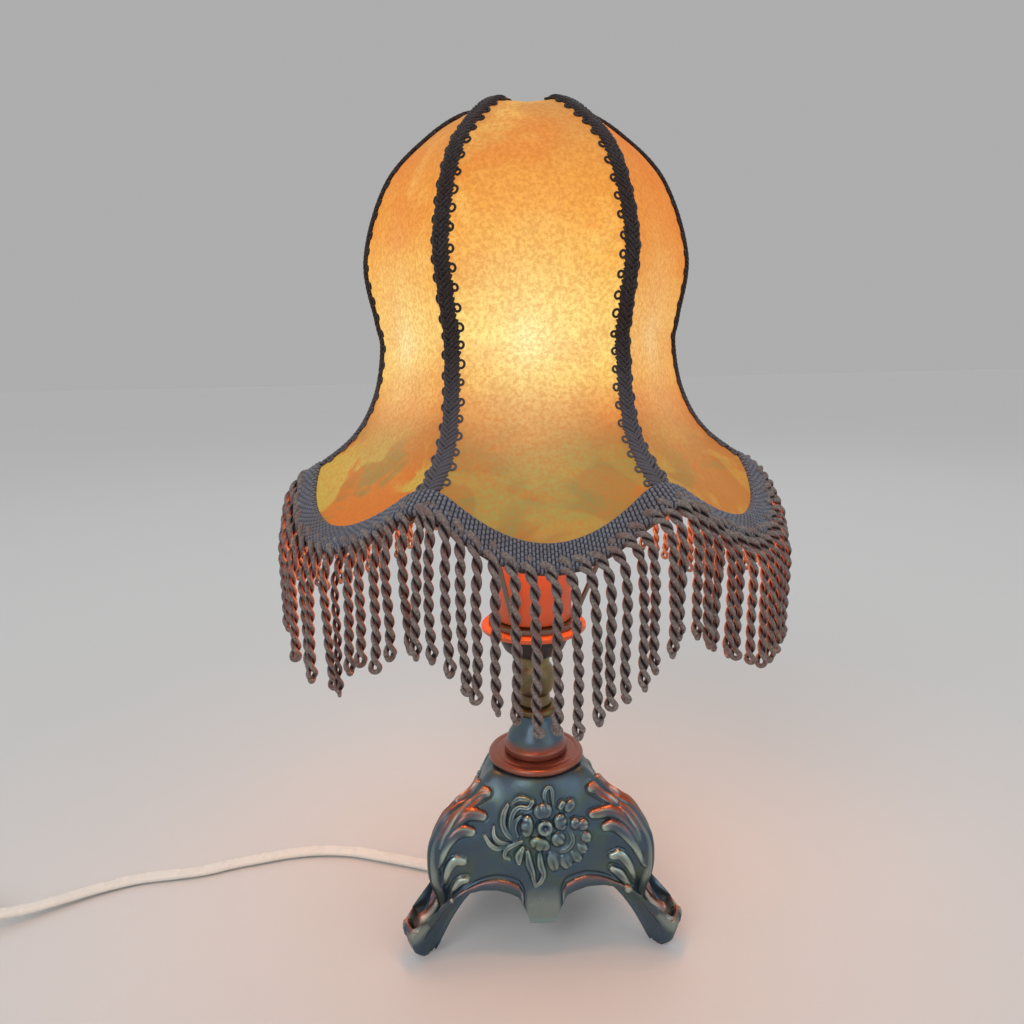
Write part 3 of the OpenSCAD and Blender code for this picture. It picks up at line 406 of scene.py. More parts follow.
def yarn(name, dark, light, tint, fine=1500, raised=None, deep=(0.75, 0.1), low=None, lit=None):
    """Twisted yarn: fine fibres with a soft change of tone, painted shade between stitches and plies,
    and, when given a glow colour, a painted glow of the bulb's light.
    """
    look = Look(name, light, roughness=0.85, Sheen_Weight=0.12, Specular_IOR_Level=0.15,
                Emission_Strength=1.1 if lit else 0.0)
    tone = look.mix(look.spread(look.noise(fine, 3), 0.3, 0.7), dark, light)
    tone = look.mix(look.spread(look.noise(70, 4), 0.5, 0.7, 0.0, 0.6), tone, tint)
    if low:
        tone = look.mix(look.spread(look.height(), 0.235, 0.2, 0.0, 0.7), tone, low)
    # Painted shade: the crevices between stitches and plies, where the mesh marks them low, darken
    # towards the given colour.
    if raised:
        tone = look.mix(look.spread(look.attribute("raised"), *deep), tone, raised)
    # Painted glow: the bulb's light on the cords' inner sides, as marked on the mesh.
    if lit:
        look.set("Emission Color", look.mix(look.attribute("lit"), (0, 0, 0, 1), lit))
    look.set("Base Color", tone)
    look.bump(look.noise(fine * 1.6, 3), 0.0002, 0.6)
    return look.material


def vinyl():
    look = Look("white_vinyl", srgb(232, 230, 224))
    look.set("Base Color", look.mix(look.noise(30, 4), srgb(236, 235, 230), srgb(222, 219, 210)))
    look.set("Roughness", look.spread(look.noise(110, 3), 0.3, 0.7, 0.22, 0.36))
    look.bump(look.noise(500, 3), 0.00006, 0.5)
    return look.material


def glass(name, color, roughness, transmission, glow=(0, 0, 0, 1), strength=0.0):
    look = Look(name, color, roughness=roughness, Transmission_Weight=transmission, IOR=1.5,
                Emission_Color=glow, Emission_Strength=strength)
    look.bump(look.noise(300, 2), 0.00002, 0.3)
    return look.material


def floor_look():
    look = Look("floor", (0.68, 0.68, 0.68, 1.0), roughness=0.9)
    look.set("Base Color", look.mix(look.noise(3, 2), (0.68, 0.68, 0.68, 1), (0.66, 0.66, 0.66, 1)))
    return look.material


LOOKS = {
    "antique_bronze": antique_bronze(),
    "antique_brass": aged_brass("antique_brass", srgb(134, 122, 88), srgb(80, 72, 54)),
    "brass": aged_brass("brass", srgb(214, 184, 110), srgb(176, 142, 80)),
    "plated_steel": plated_steel(),
    "black_plastic": plastic("black_plastic", srgb(26, 24, 24), srgb(18, 17, 17), 0.35),
    "amber_plastic": lit_plastic(),
    "porcelain": plastic("porcelain", srgb(238, 236, 228), srgb(228, 226, 216), 0.15),
    "frosted_glass": glass("frosted_glass", srgb(252, 240, 214), 0.35, 0.6, srgb(255, 196, 110), 1.2),
    "clear_glass": glass("clear_glass", srgb(244, 244, 240), 0.05, 0.9),
    "tungsten": plastic("tungsten", srgb(120, 116, 112), srgb(100, 96, 92), 0.35, Metallic=0.9),
    "copper_wire": plastic("copper_wire", srgb(206, 128, 86), srgb(178, 104, 66), 0.3, Metallic=1.0),
    "amber_cloth": amber_cloth(),
    "taupe_braid": yarn("taupe_braid", srgb(26, 20, 21), srgb(74, 65, 64), srgb(56, 36, 34),
                        low=srgb(104, 100, 108)),
    # The band's and the fringe's darkest colours are painted shade between stitches and plies; the
    # fringe's orange is a painted glow of the bulb's light.
    "grey_taupe_band": yarn("grey_taupe_band", srgb(94, 96, 108), srgb(142, 142, 154),
                            srgb(116, 106, 106), raised=srgb(40, 38, 44)),
    "taupe_bullion": yarn("taupe_bullion", srgb(94, 80, 78), srgb(150, 140, 134),
                          srgb(120, 82, 78), raised=srgb(38, 22, 24), deep=(0.95, 0.55),
                          lit=srgb(228, 88, 44)),
    "white_vinyl": vinyl(),
    "white_plastic": plastic("white_plastic", srgb(236, 235, 230), srgb(226, 224, 217), 0.3),
    "grey_plastic": plastic("grey_plastic", srgb(120, 110, 108), srgb(104, 96, 94), 0.4),
}
SLOT_OF = {s["node"]: s["material_slot"] for s in frame["record"]["subparts"]}


def dress_cad_nodes():
    """Gives every carried-over CAD node its procedural material."""
    for name, obj in nodes.items():
        look = LOOKS[SLOT_OF[name]]
        if obj.material_slots:
            for slot in obj.material_slots:
                slot.material = look
        else:
            obj.data.materials.append(look)


dress_cad_nodes()

# Heights of the stack, as in the CAD source
BASE_H = 68.5
ROOF_Z = 64.5
COLLAR_Z = 72.0
DOME_Z = 75.8
CHECK_Z = 88.5
BALL_Z = 92.0
CAP_Z = 114.0
FLANGE_Z = 124.5
LOCK_Z = 129.3
LOCK_TOP_Z = 158.0
CREST_Z = 315.5

# Free cord: relief, table, switch, tail and coil, as in the CAD source
CORD_W = 6.0
CORD_T = 3.0
RELIEF_Z = 44.0
SWITCH_Z = 8.5
LEAD_ROUTE = [
    (0, 0, RELIEF_Z), (0, 0, RELIEF_Z - 6), (-2, 1, 29), (-6, 4, 20), (-13, 7, 12), (-22, 12, 6),
    (-33, 17, 3), (-44, 23, 2), (-56, 28, 2), (-70, 33, 2), (-85, 38, 2), (-100, 40, 2),
    (-115, 39, 2), (-128, 36, 2), (-140, 33, 2), (-152, 29, 2), (-165, 27, 2), (-180, 25, 2),
    (-195, 19, 2.5), (-208, 11, 3.5), (-219, 3.5, 5), (-228, -1.5, 7), (-236, -4, SWITCH_Z)]
TAIL_ROUTE = [
    (-288, -4, SWITCH_Z), (-295, -4, 7.5), (-304, -7, 5.5), (-311, -14, 4.2), (-315, -24, 3.3),
    (-316, -36, 3), (-316, -52, 3), (-316, -68, 3)]
COIL_R = 32.4
COIL_STEP = 3.6
COIL_LAYER = 6.2
COIL_TURNS_IN = 3.375
COIL_TURNS = 2 * COIL_TURNS_IN + 0.5
COIL_OUT_R = COIL_R + COIL_STEP * COIL_TURNS_IN / 2
COIL_CENTRE = (-316 + COIL_OUT_R, -74, 3)
LEAD_DIR = (cos(radians(150)), sin(radians(150)))


def coil_points(per_turn=48):
    """Centreline of the coil: in on the table, up in a half turn, out on top."""
    t = np.arange(round(COIL_TURNS * per_turn) + 1) / per_turn
    wind = np.where(t < COIL_TURNS_IN, t,
                    np.where(t < COIL_TURNS_IN + 0.5, COIL_TURNS_IN, COIL_TURNS - t))
    climb = np.clip((t - COIL_TURNS_IN) / 0.5, 0, 1)
    radius = COIL_OUT_R - COIL_STEP * wind
    angle = pi + 2 * pi * t
    return np.stack([COIL_CENTRE[0] + radius * np.cos(angle),
                     COIL_CENTRE[1] + radius * np.sin(angle),
                     COIL_CENTRE[2] + COIL_LAYER * (0.5 - 0.5 * np.cos(pi * climb))], 1)


def cord_section(sides=20):
    """Outline of the flat twin cord, [across, through], half sizes of 1 each."""
    angle = np.arange(sides) * 2 * pi / sides
    across = np.cos(angle)
    waist = 1 - 0.16 * np.exp(-(across / 0.22) ** 2)
    return np.stack([across, np.sign(np.sin(angle)) * np.abs(np.sin(angle)) ** 0.7 * waist], 1)


def build_cord():
    lead = spline(LEAD_ROUTE, np.linspace(0, len(LEAD_ROUTE) - 1, 6 * (len(LEAD_ROUTE) - 1) + 1))
    tail = spline(TAIL_ROUTE, np.linspace(0, len(TAIL_ROUTE) - 1, 6 * (len(TAIL_ROUTE) - 1) + 1))
    inside = np.linspace(lead[-1], tail[0], 8)[1:-1]
    coil = coil_points()
    last = coil[-1] + [[2, 0, 0], [CORD_W, 0, 0]]
    path = np.concatenate([lead, inside, tail, coil, last])
    along = unit(np.gradient(path, axis=0))
    lean = np.where(path[:, 0] > -100, np.clip((path[:, 2] - 3) / 9, 0, 1), 0)
    ref = np.stack([lean * LEAD_DIR[0], lean * LEAD_DIR[1], np.ones(len(path))], 1)
    side = unit(np.cross(along, ref))
    up = np.cross(side, along)
    edge_start = len(lead) + len(inside) + 12
    on_edge = np.clip((np.arange(len(path)) - edge_start) / (len(tail) - 18), 0, 1)
    half_w = (CORD_W + (CORD_T - 0.2 - CORD_W) * on_edge) / 2
    half_t = (CORD_T + (CORD_W - 0.3 - CORD_T) * on_edge) / 2
    turn = on_edge * pi / 2
    shape = cord_section()
    wide = np.cos(turn)[:, None] * side + np.sin(turn)[:, None] * up
    thin = np.cos(turn)[:, None] * up - np.sin(turn)[:, None] * side
    big = np.maximum(half_w, half_t)[:, None, None]
    small = np.minimum(half_w, half_t)[:, None, None]
    verts = (path[:, None, :] + big * shape[None, :, 0, None] * wide[:, None, :]
             + small * shape[None, :, 1, None] * thin[:, None, :])
    sides = len(shape)
    faces = grid_faces(len(path), sides, wrap_cols=True)
    faces.append(list(range(sides))[::-1])
    faces.append([(len(path) - 1) * sides + k for k in range(sides)])
    obj = make("mains_cord", verts.reshape(-1, 3), faces, LOOKS["white_vinyl"], "lamp",
               replaces=("cord_lead", "cord_tail", "cord_coil"))
    length = np.linalg.norm(np.diff(path, axis=0), axis=1).sum() * MM
    print("cord length", round(length, 3))


build_cord()

# Base casting: the CAD's profiles, smoothed, with the cast relief on each face
FEET = 3
FACE_HALF = 60.0
TOE_R = 106 / 2 / sin(radians(FACE_HALF))
KNEE_R = 50.6
ANKLE_R = 46.4
NECK_R = 18.0
WALL = 2.6
FACE_REACH = 31.0
TONGUE_Z = 14.5
ARCH_H = 27.5
LEG_OUT = [
    (NECK_R, BASE_H), (NECK_R + 4.3, BASE_H - 1), (32, BASE_H - 9.2), (41.4, BASE_H - 12.8),
    (46, BASE_H - 18), (KNEE_R - 1, BASE_H - 25), (KNEE_R - 0.8, BASE_H - 37.5), (ANKLE_R, 19),
    (ANKLE_R + 2.2, 14.6), (TOE_R - 9.0, 11.2), (TOE_R - 5.6, 9.8), (TOE_R - 3.4, 10.8),
    (TOE_R - 2.4, 13.6), (TOE_R - 1, 14.8), (TOE_R, 11.5), (TOE_R - 1.8, 4), (TOE_R - 6, 0)]
LEG_IN = [
    (TOE_R - 7.8, 0), (TOE_R - 12, 5), (ANKLE_R - WALL, 18),
    (KNEE_R - 0.8 - WALL, BASE_H - 37.5), (KNEE_R - 1.4 - WALL, BASE_H - 25.5),
    (45.4 - WALL, BASE_H - 20), (40.4 - WALL, BASE_H - 13 - WALL), (30, BASE_H - 9.7 - WALL),
    (NECK_R - WALL, ROOF_Z)]
DROP_OUT = [0, 0.03, 0.14, 0.24, 0.35, 0.46, 0.62, 0.78, 0.84, 0.87, 0.9, 0.92, 0.94, 0.955,
            0.97, 0.985, 1]
DROP_IN = [1, 0.93, 0.8, 0.64, 0.47, 0.36, 0.22, 0.1, 0]

# Relief in a face's front view, in mm: [across, up, half width] along each stroke
FLOWER = (1.5, 51.4)
SCROLLS = [
    [(-12.6, 58.9, 0.8), (-14.2, 55.8, 1.4), (-14.7, 52.4, 1.5), (-13.3, 49.2, 1.4),
     (-10.6, 46.8, 0.8)],
    [(-3, 60.8, 1.0), (-4.8, 58.7, 1.1), (-8, 58.7, 1.1), (-10.3, 56.8, 1.2), (-11.5, 53.5, 1.3),
     (-11.3, 50, 1.2), (-9.5, 47.2, 0.6)],
    [(-10.6, 59.8, 0.6), (-8.2, 61.6, 1.1), (-5.3, 61.6, 1.0), (-3.4, 60.8, 0.8)],
    [(-7.7, 55.4, 0.8), (-9.5, 53.7, 1.0), (-10.3, 50.8, 1.1), (-9.2, 48.2, 0.7)],
    [(-21.9, 48.3, 0.8), (-20, 45.4, 1.3), (-17.3, 43.8, 1.3), (-14.2, 44.1, 0.7)],
    [(-18.3, 51.2, 0.6), (-18.3, 48.3, 1.1), (-16.1, 46.1, 1.2), (-12.8, 45.5, 0.7)],
    [(-7.6, 46.3, 0.7), (-11.2, 45.0, 1.2), (-13.8, 43.2, 1.2), (-14.4, 40.6, 1.0),
     (-12.6, 39.3, 0.6)],
    [(-7.4, 43.8, 1.1), (-8.8, 40.9, 1.9), (-8.9, 38.2, 1.1)],
    [(-5.6, 42.2, 1.1), (-5.1, 38.4, 1.7), (-3.9, 34.6, 1.4), (-3.4, 31.4, 1.0),
     (-2.8, 29, 0.8)],
    [(-0.9, 41.2, 1.1), (-0.6, 37.2, 1.7), (0.4, 33.9, 1.3), (-0.5, 31.2, 1.2),
     (-2.4, 29.2, 0.8)],
    [(2.2, 60.3, 0.6), (1.6, 63.0, 0.9), (2.7, 65.3, 0.9), (4.2, 65.2, 0.8), (4.8, 63, 0.9),
     (4.9, 59.8, 0.6)],
    [(10.9, 57.6, 2.0), (11.8, 58.2, 2.2)],
    [(7.8, 58.3, 1.3), (8.5, 59.2, 1.4)],
    [(9.6, 50.4, 0.7), (11.6, 48.2, 1.2), (12, 45.8, 1.4), (10.6, 43.5, 1.5), (8, 42.3, 1.3),
     (4.8, 43.2, 0.7)],
]
# Petals round the flower's centre: [angle, reach, half length, half width]
PETALS = [(96, 6.0, 3.3, 3.9), (13, 6.2, 2.9, 3.5), (-42, 6.7, 3.1, 3.3), (-109, 6.4, 2.9, 4.5),
          (175, 6.9, 2.7, 4.4)]
SHELL = [(1, 11.8, 2.3, 2.3), (-2, 15.0, 2.5, 2.3), (-17, 16.7, 2.5, 2.4), (-32, 16.7, 2.8, 2.4),
         (-45, 16.6, 3.2, 2.3), (-60, 15.4, 3.5, 2.8), (-78, 13.4, 4.2, 2.6)]
# Acanthus lobes on the legs' flanks: left flank, then right flank
LOBES = [
    [(-22.4, 55.2, 1.8), (-26, 56.2, 2.3), (-29.4, 56, 2.4), (-33, 54, 2.2), (-36.2, 50, 1.8),
     (-38.7, 45.4, 1.2)],
    [(-27, 50.3, 1.8), (-30.3, 51, 2.4), (-33.4, 49.8, 2.3), (-36.2, 47, 1.9), (-38.1, 43.4, 1.5),
     (-39.7, 38, 0.8)],
    [(-30.7, 39.6, 1.8), (-33.6, 40.2, 2.2), (-36, 37.6, 1.8), (-37.5, 33.6, 1.3),
     (-38.2, 29.5, 0.6)],
    [(-29.7, 31.6, 1.7), (-32.2, 30.8, 2.0), (-34.4, 28, 1.3), (-35.8, 25, 0.6)],
    [(20.2, 54.2, 1.6), (23.2, 54.6, 2.1), (27, 55.3, 2.3), (31, 54.3, 2.3), (34.3, 51.6, 2.0),
     (37.4, 46.8, 1.5), (39.4, 41, 0.9)],
    [(25.1, 50, 1.7), (27.9, 50.6, 2.3), (31, 49.2, 2.4), (34.7, 45.6, 2.1), (37.6, 41, 1.6),
     (39.8, 34.5, 0.8)],
    [(27.6, 39, 1.7), (30.6, 39.4, 2.3), (33.4, 36.4, 2.0), (35.4, 32, 1.3), (36.6, 28, 0.6)],
    [(27.6, 33.6, 1.6), (30.5, 31.4, 2.1), (32.8, 28, 1.4), (34.2, 25.4, 0.6)],
    [(-20.2, 62.4, 1.5), (-22.6, 62, 2.0), (-26.3, 60, 1.9), (-29.6, 58, 1.2)],
    [(20.2, 62.4, 1.5), (22.6, 62, 2.0), (26.3, 60, 1.9), (29.6, 58, 1.2)],
]
GROOVE = 0.3


def ease(value, low, high):
    """0 below low, 1 above high, straight between."""
    return np.clip((value - low) / (high - low), 0, 1)


def leg_share(a, drop):
    """1 on a leg's crest, falling off to both sides: wide at the lip, narrow at the foot."""
    toe, foot = ease(drop, 0.84, 0.93), ease(drop, 0.955, 0.99)
    flat = 1 + 2.8 * toe - 2.6 * foot
    fall = 8.6 - 3.2 * toe - 0.6 * foot
    power = 1.7 + (1.2 - 1.7) * drop
    return np.exp(-(np.maximum(0, FACE_HALF - flat - np.abs(a)) / fall) ** power)


def edge_z(a):
    return np.interp(np.abs(a), [9.2, 14.8, 18, 24, 32],
                     [TONGUE_Z, TONGUE_Z + 7.5, TONGUE_Z + 10.5, ARCH_H - 1.1, ARCH_H])


def face_r(z):
    share = np.maximum(0, BASE_H - z) / (BASE_H - TONGUE_Z)
    return NECK_R + (FACE_REACH - NECK_R) * share ** 0.55


def casting_surface(a, t, legs, drops, top_z, wall):
    """[radius, height] at angle a from a face's centre, t along the profile."""
    drop = np.interp(t, np.arange(len(drops)), drops)
    leg = spline(legs, t)
    w = leg_share(a, drop)
    z = top_z + (edge_z(a) - top_z) * drop
    r = (face_r(z) - wall) * (1 + ((1 / np.cos(np.radians(a))) ** 0.75 - 1)
                              * np.minimum(1, drop * 2))
    return r + (leg[..., 0] - r) * w, z + (leg[..., 1] - z) * w


def outlined(share, width, body):
    """The body inside an outline, and a shallow groove just outside it."""
    groove = -GROOVE * np.exp(-((share - 1) * width / 0.55) ** 2)
    return np.where(share < 1, body, groove)


def stroke_height(x, z, points, height, vein):
    """Height of a rounded stroke, lower where it narrows, with a crease along it."""
    pts = np.asarray(points, dtype=float)
    out = np.zeros_like(x)
    margin = pts[:, 2].max() + 1.5
    low, high = pts[:, :2].min(0) - margin, pts[:, :2].max(0) + margin
    near = (x > low[0]) & (x < high[0]) & (z > low[1]) & (z < high[1])
    p = np.stack([x[near], z[near]], 1)
    fine = spline(pts, np.linspace(0, len(pts) - 1, 5 * len(pts)))
    share = np.full(len(p), 9.0)
    width = np.ones(len(p))
    for a, b in zip(fine[:-1], fine[1:]):
        ab = b[:2] - a[:2]
        f = np.clip(((p - a[:2]) @ ab) / (ab @ ab), 0, 1)
        half = a[2] + (b[2] - a[2]) * f
        d = np.linalg.norm(p - a[:2] - f[:, None] * ab, axis=1) / half
        width = np.where(d < share, half, width)
        share = np.minimum(share, d)
    top = height * np.minimum(1, width / 1.4)
    body = top * np.sqrt(np.clip(1 - share ** 2.2, 0, 1)) - vein * np.exp(-(share / 0.25) ** 2)
    out[near] = outlined(share, width, np.maximum(body, 0.03))
    return out


def petal_height(x, z, petal, height, crease, creases):
    """A plump petal pointing away from the flower's centre, creased along its length."""
    angle, reach, half_l, half_w = petal
    ca, sa = cos(radians(angle)), sin(radians(angle))
    along = (x * ca + z * sa - reach) / half_l
    across = (-x * sa + z * ca) / half_w
    share = np.sqrt(along ** 2 + across ** 2)
    body = height * np.sqrt(np.clip(1 - share ** 2.6, 0, 1))
    outer = np.clip(along + 0.5, 0, 1)
    for place in creases:
        body = body - crease * outer * np.exp(-((across - place) / 0.14) ** 2)
    return outlined(share, min(half_l, half_w), np.maximum(body, 0.03))


def relief(a, r, z):
    """Height of the cast ornament over the smooth casting."""
    x = r * np.sin(np.radians(a))
    fx, fz = x - FLOWER[0], z - FLOWER[1]
    plate = np.hypot(fx - 8, fz + 6.5) / 8.5
    shapes = [0.8 * np.sqrt(np.clip(1 - plate ** 2, 0, 1))]
    shapes += [petal_height(fx, fz, petal, 1.7, 0.25, (0.0,)) for petal in SHELL]
    shapes += [stroke_height(x, z, points, 1.7, 0.3) for points in SCROLLS]
    petals = np.max([petal_height(fx, fz, petal, 2.4, 0.45, (-0.36, 0.36)) for petal in PETALS], 0)
    centre = np.hypot(fx, fz) / 3.2
    disc = 2.6 * np.sqrt(np.clip(1 - centre ** 5, 0, 1)) - 1.5 * np.exp(-(centre / 0.38) ** 2)
    shapes += [petals, outlined(centre, 3.2, np.maximum(disc, 0.4))]
    flank = np.clip((57.6 - np.abs(a)) / 2.0, 0, 1)
    shapes += [stroke_height(x, z, points, 1.9, 0.15) * flank for points in LOBES]
    top, low = np.max(shapes, 0), np.min(shapes, 0)
    return np.where(top > 0.02, top, low)


def crest_roll(a, r, drop):
    """Rolls along both edges of every leg's outer strip, parting into the toe's rim."""
    gap = r * np.radians(FACE_HALF - np.abs(a))
    toe = ease(drop, 0.84, 0.93)
    middle = 1.9 + 1.9 * toe
    roll = 1.0 * np.sqrt(np.clip(1 - ((gap - middle) / 1.5) ** 2, 0, 1))
    channel = 0.3 * np.exp(-(gap / (0.8 + 1.4 * toe)) ** 2)
    beside = 0.35 * np.exp(-((gap - middle - 1.9) / 0.6) ** 2)
    return (roll - channel - beside) * ease(drop, 0.12, 0.18) * (1 - ease(drop, 0.975, 0.99))


def arch_lip(a, drop):
    """Rounded bead along the arches, none on the centre tongue but a thin rim."""
    up = 1 - drop
    bead = 1.6 * np.sqrt(np.clip(1 - ((up - 0.05) / 0.06) ** 2, 0, 1))
    groove = 0.4 * np.exp(-((up - 0.13) / 0.025) ** 2)
    on_arch = ease(np.abs(a), 13.2, 14.8) * ease(np.abs(a), 51.5, 44)
    rim = 0.35 * np.exp(-(up / 0.02) ** 2) * (1 - ease(np.abs(a), 10, 13))
    return (bead - groove) * on_arch + rim


def surface_normals(points):
    """Normals of a grid of points that closes on itself along its columns."""
    down = np.gradient(points, axis=0)
    round_ = (np.roll(points, -1, 1) - np.roll(points, 1, 1)) / 2
    n = np.cross(round_, down)
    n = unit(n)
    outward = np.sum(n[..., :2] * points[..., :2], axis=-1, keepdims=True)
    return n if outward.mean() > 0 else -n


def build_base():
    cols = 300
    rows = 300
    face = (np.arange(cols) / cols - 0.5) * 2 * FACE_HALF
    a = np.tile(face, FEET)
    azimuth = np.radians(np.repeat(np.arange(FEET) * 120.0 - 90, cols) + a)
    t = np.interp(np.linspace(0, 1, rows), [0, 0.12, 0.62, 0.8, 1], [0, 1, 7, 12, 16])[:, None]
    grid_a = np.broadcast_to(a, (rows, len(a)))
    r, z = casting_surface(grid_a, np.broadcast_to(t, grid_a.shape), LEG_OUT, DROP_OUT, BASE_H, 0)
    drop = np.interp(t, np.arange(len(DROP_OUT)), DROP_OUT)

    def place(radius, height):
        return np.stack([radius * np.cos(azimuth), radius * np.sin(azimuth), height], -1)

    smooth_points = place(r, z)
    normal = surface_normals(smooth_points)
    h = relief(grid_a, r, z)
    fade = np.clip((z - 1.5) / 4, 0, 1) * np.clip((BASE_H - 0.6 - z) / 2, 0, 1)
    grid_drop = np.broadcast_to(drop, grid_a.shape)
    lift = h * fade + crest_roll(grid_a, r, grid_drop) + arch_lip(grid_a, grid_drop)
    keep = np.clip((BASE_H - z) / 1.0, 0, 1) * np.clip(z / 2, 0, 1)
    outer = smooth_points + normal * (lift * keep)[..., None]
    inner_rows = 28
    t_in = np.linspace(0, len(LEG_IN) - 1, inner_rows)[:, None]
    grid_in = np.broadcast_to(a, (inner_rows, len(a)))
    r_in, z_in = casting_surface(grid_in, np.broadcast_to(t_in, grid_in.shape), LEG_IN, DROP_IN,
                                 ROOF_Z, WALL)
    inner = place(r_in, z_in)
    hole = 5.0
    top_hole = place(np.full((1, len(a)), hole), np.full((1, len(a)), BASE_H))
    low_hole = place(np.full((1, len(a)), hole), np.full((1, len(a)), ROOF_Z))
    points = np.concatenate([top_hole, outer, inner, low_hole])
    faces = grid_faces(len(points), len(a), wrap_cols=True, wrap_rows=True, flip=True)
    obj = make("cast_base", points.reshape(-1, 3), faces, LOOKS["antique_bronze"], "lamp",
               replaces=("base_casting",))
    # Raised relief above its blurred surroundings comes out lighter, partly as worn metal and partly
    # as a painted highlight; hollows come out darker, except in the toes.
    blurred = lift.copy()
    for _ in range(26):
        blurred[1:-1] = (blurred[:-2] + blurred[2:] + blurred[1:-1] * 2) / 4
        blurred = (np.roll(blurred, 1, 1) + np.roll(blurred, -1, 1) + blurred * 2) / 4
    wear_and_highlight = np.clip(0.5 + (lift - blurred) * 0.4, 0, 1)
    in_toe = ease(grid_drop, 0.8, 0.86) * ease(np.abs(grid_a), 50, 54)
    wear_and_highlight = np.maximum(wear_and_highlight, 0.48 * in_toe)
    # Painted highlight: the centre tongue made lighter.
    on_tongue = ease(np.abs(grid_a), 14, 11) * ease(z, 31, 22)
    wear_and_highlight = np.maximum(wear_and_highlight, 0.5 + 0.13 * on_tongue)
    # Painted light: the bulb's orange glow on upward faces of the legs' ornament and in the toes'
    # hollows.
    up = surface_normals(outer)[..., 2]
    on_leg = np.maximum(ease(np.abs(grid_a), 28, 40) * ease(z, 44, 54), ease(z, 34, 29))
    painted_bulb_glow = ease(up, 0.25, 0.8) * np.maximum(ease(lift, 0.3, 1.0) * on_leg, in_toe) * 0.75
    for name, value, rest in (("wear_and_highlight", wear_and_highlight, 0.45), ("painted_bulb_glow", painted_bulb_glow, 0.0)):
        full = np.full(points.shape[:2], rest)
        full[1:1 + rows] = value
        store(obj, name, full.ravel())


def store(obj, name, values):
    layer = obj.data.attributes.new(name, "FLOAT", "POINT")
    layer.data.foreach_set("value", np.asarray(values, dtype=np.float32))


build_base()


# Stem: turned pieces with softened edges
def build_stem():
    bore = 5.0
    rim = [(bore, BASE_H), (17.4, BASE_H), (18.6, BASE_H + 0.4), (19.5, BASE_H + 1.3),
           (19.5, BASE_H + 2.4), (18.7, COLLAR_Z - 0.2), (17.2, COLLAR_Z), (16.4, COLLAR_Z - 0.35),
           (15.4, COLLAR_Z), (bore, COLLAR_Z)]
    disc = lathe("collar_plate", rounded(rim, 0.5), LOOKS["antique_bronze"], "lamp",
                 ("collar_disc",))
    steps = np.linspace(0, 1, 13)
    dome = [(bore, COLLAR_Z), (12.4, COLLAR_Z), (12.9, COLLAR_Z + 0.6), (12.9, DOME_Z - 0.9),
            (12.2, DOME_Z - 0.1), (11.9, DOME_Z)]
    dome += [(6.6 + 5.3 * (0.5 + 0.5 * cos(pi * s)), DOME_Z + 12.7 * s) for s in steps[1:]]
    dome += [(bore, CHECK_Z)]
    bell = lathe("stem_dome", rounded(dome, 0.35), LOOKS["antique_bronze"], "lamp",
                 ("neck_dome",))
    ring = [(bore, CHECK_Z), (7.4, CHECK_Z)]
    ring += [(7.75 + 1.75 * cos(radians(t)), CHECK_Z + 1.75 + 1.75 * sin(radians(t)))
             for t in range(-80, 81, 16)]
    ring += [(7.4, BALL_Z), (bore, BALL_Z)]
    check = lathe("stem_ring", ring, LOOKS["antique_brass"], "lamp",
                  ("check_ring",))
    ball = [(bore, BALL_Z), (6.6, BALL_Z), (6.6, BALL_Z + 1.4), (6.2, BALL_Z + 1.7)]
    ball += [(max(6.2, 8.5 * cos(radians(t))), BALL_Z + 11 + 9.35 * sin(radians(t)))
             for t in range(-78, 79, 6)]
    ball += [(6.2, CAP_Z - 1.7), (6.6, CAP_Z - 1.4), (6.6, CAP_Z), (bore, CAP_Z)]
    globe = lathe("stem_ball", rounded(ball, 0.2, 2), LOOKS["antique_brass"], "lamp",
                  ("ball_spacer",))
    # Faint rings of tone, and a painted orange glow of the bulb's light on the collar and the dome's
    # foot.
    for obj in (disc, bell):
        z = np.array([v.co.z for v in obj.data.vertices]) / MM
        store(obj, "wear_and_highlight", 0.49 + 0.03 * np.sin(z * 2.1))
        store(obj, "painted_bulb_glow", 0.65 * ease(z, DOME_Z + 2.5, DOME_Z))


build_stem()

# Shade surface, as in the CAD source
SHADE_TOP_R, SHOULDER_R, WAIST_R, HEM_R, HEM_MID_R = 16.0, 58.8, 54.4, 86.3, 88.0
SHOULDER_DROP, WAIST_DROP, HEM_DROP, SCALLOP = 48.5, 80.5, 128.0, 15.8
KNEE_SHARE, KNEE_DROP_SHARE = 0.64, 0.67
MID_R = SHOULDER_R + (WAIST_R - SHOULDER_R) * KNEE_SHARE
MID_DROP = SHOULDER_DROP + (WAIST_DROP - SHOULDER_DROP) * KNEE_DROP_SHARE
FLAT = cos(radians(30))
RIB_PROFILE = [
    (SHADE_TOP_R, CREST_Z - 2.5), (SHADE_TOP_R + 5, CREST_Z), (34.4, CREST_Z - 7.5),
    (SHOULDER_R - 8.8, CREST_Z - 23), (SHOULDER_R, CREST_Z - SHOULDER_DROP),
    (MID_R, CREST_Z - MID_DROP), (WAIST_R, CREST_Z - WAIST_DROP),
    (WAIST_R + 3.6, CREST_Z - WAIST_DROP - 18), (HEM_R - 18.8, CREST_Z - HEM_DROP + 14),
    (HEM_R, CREST_Z - HEM_DROP)]
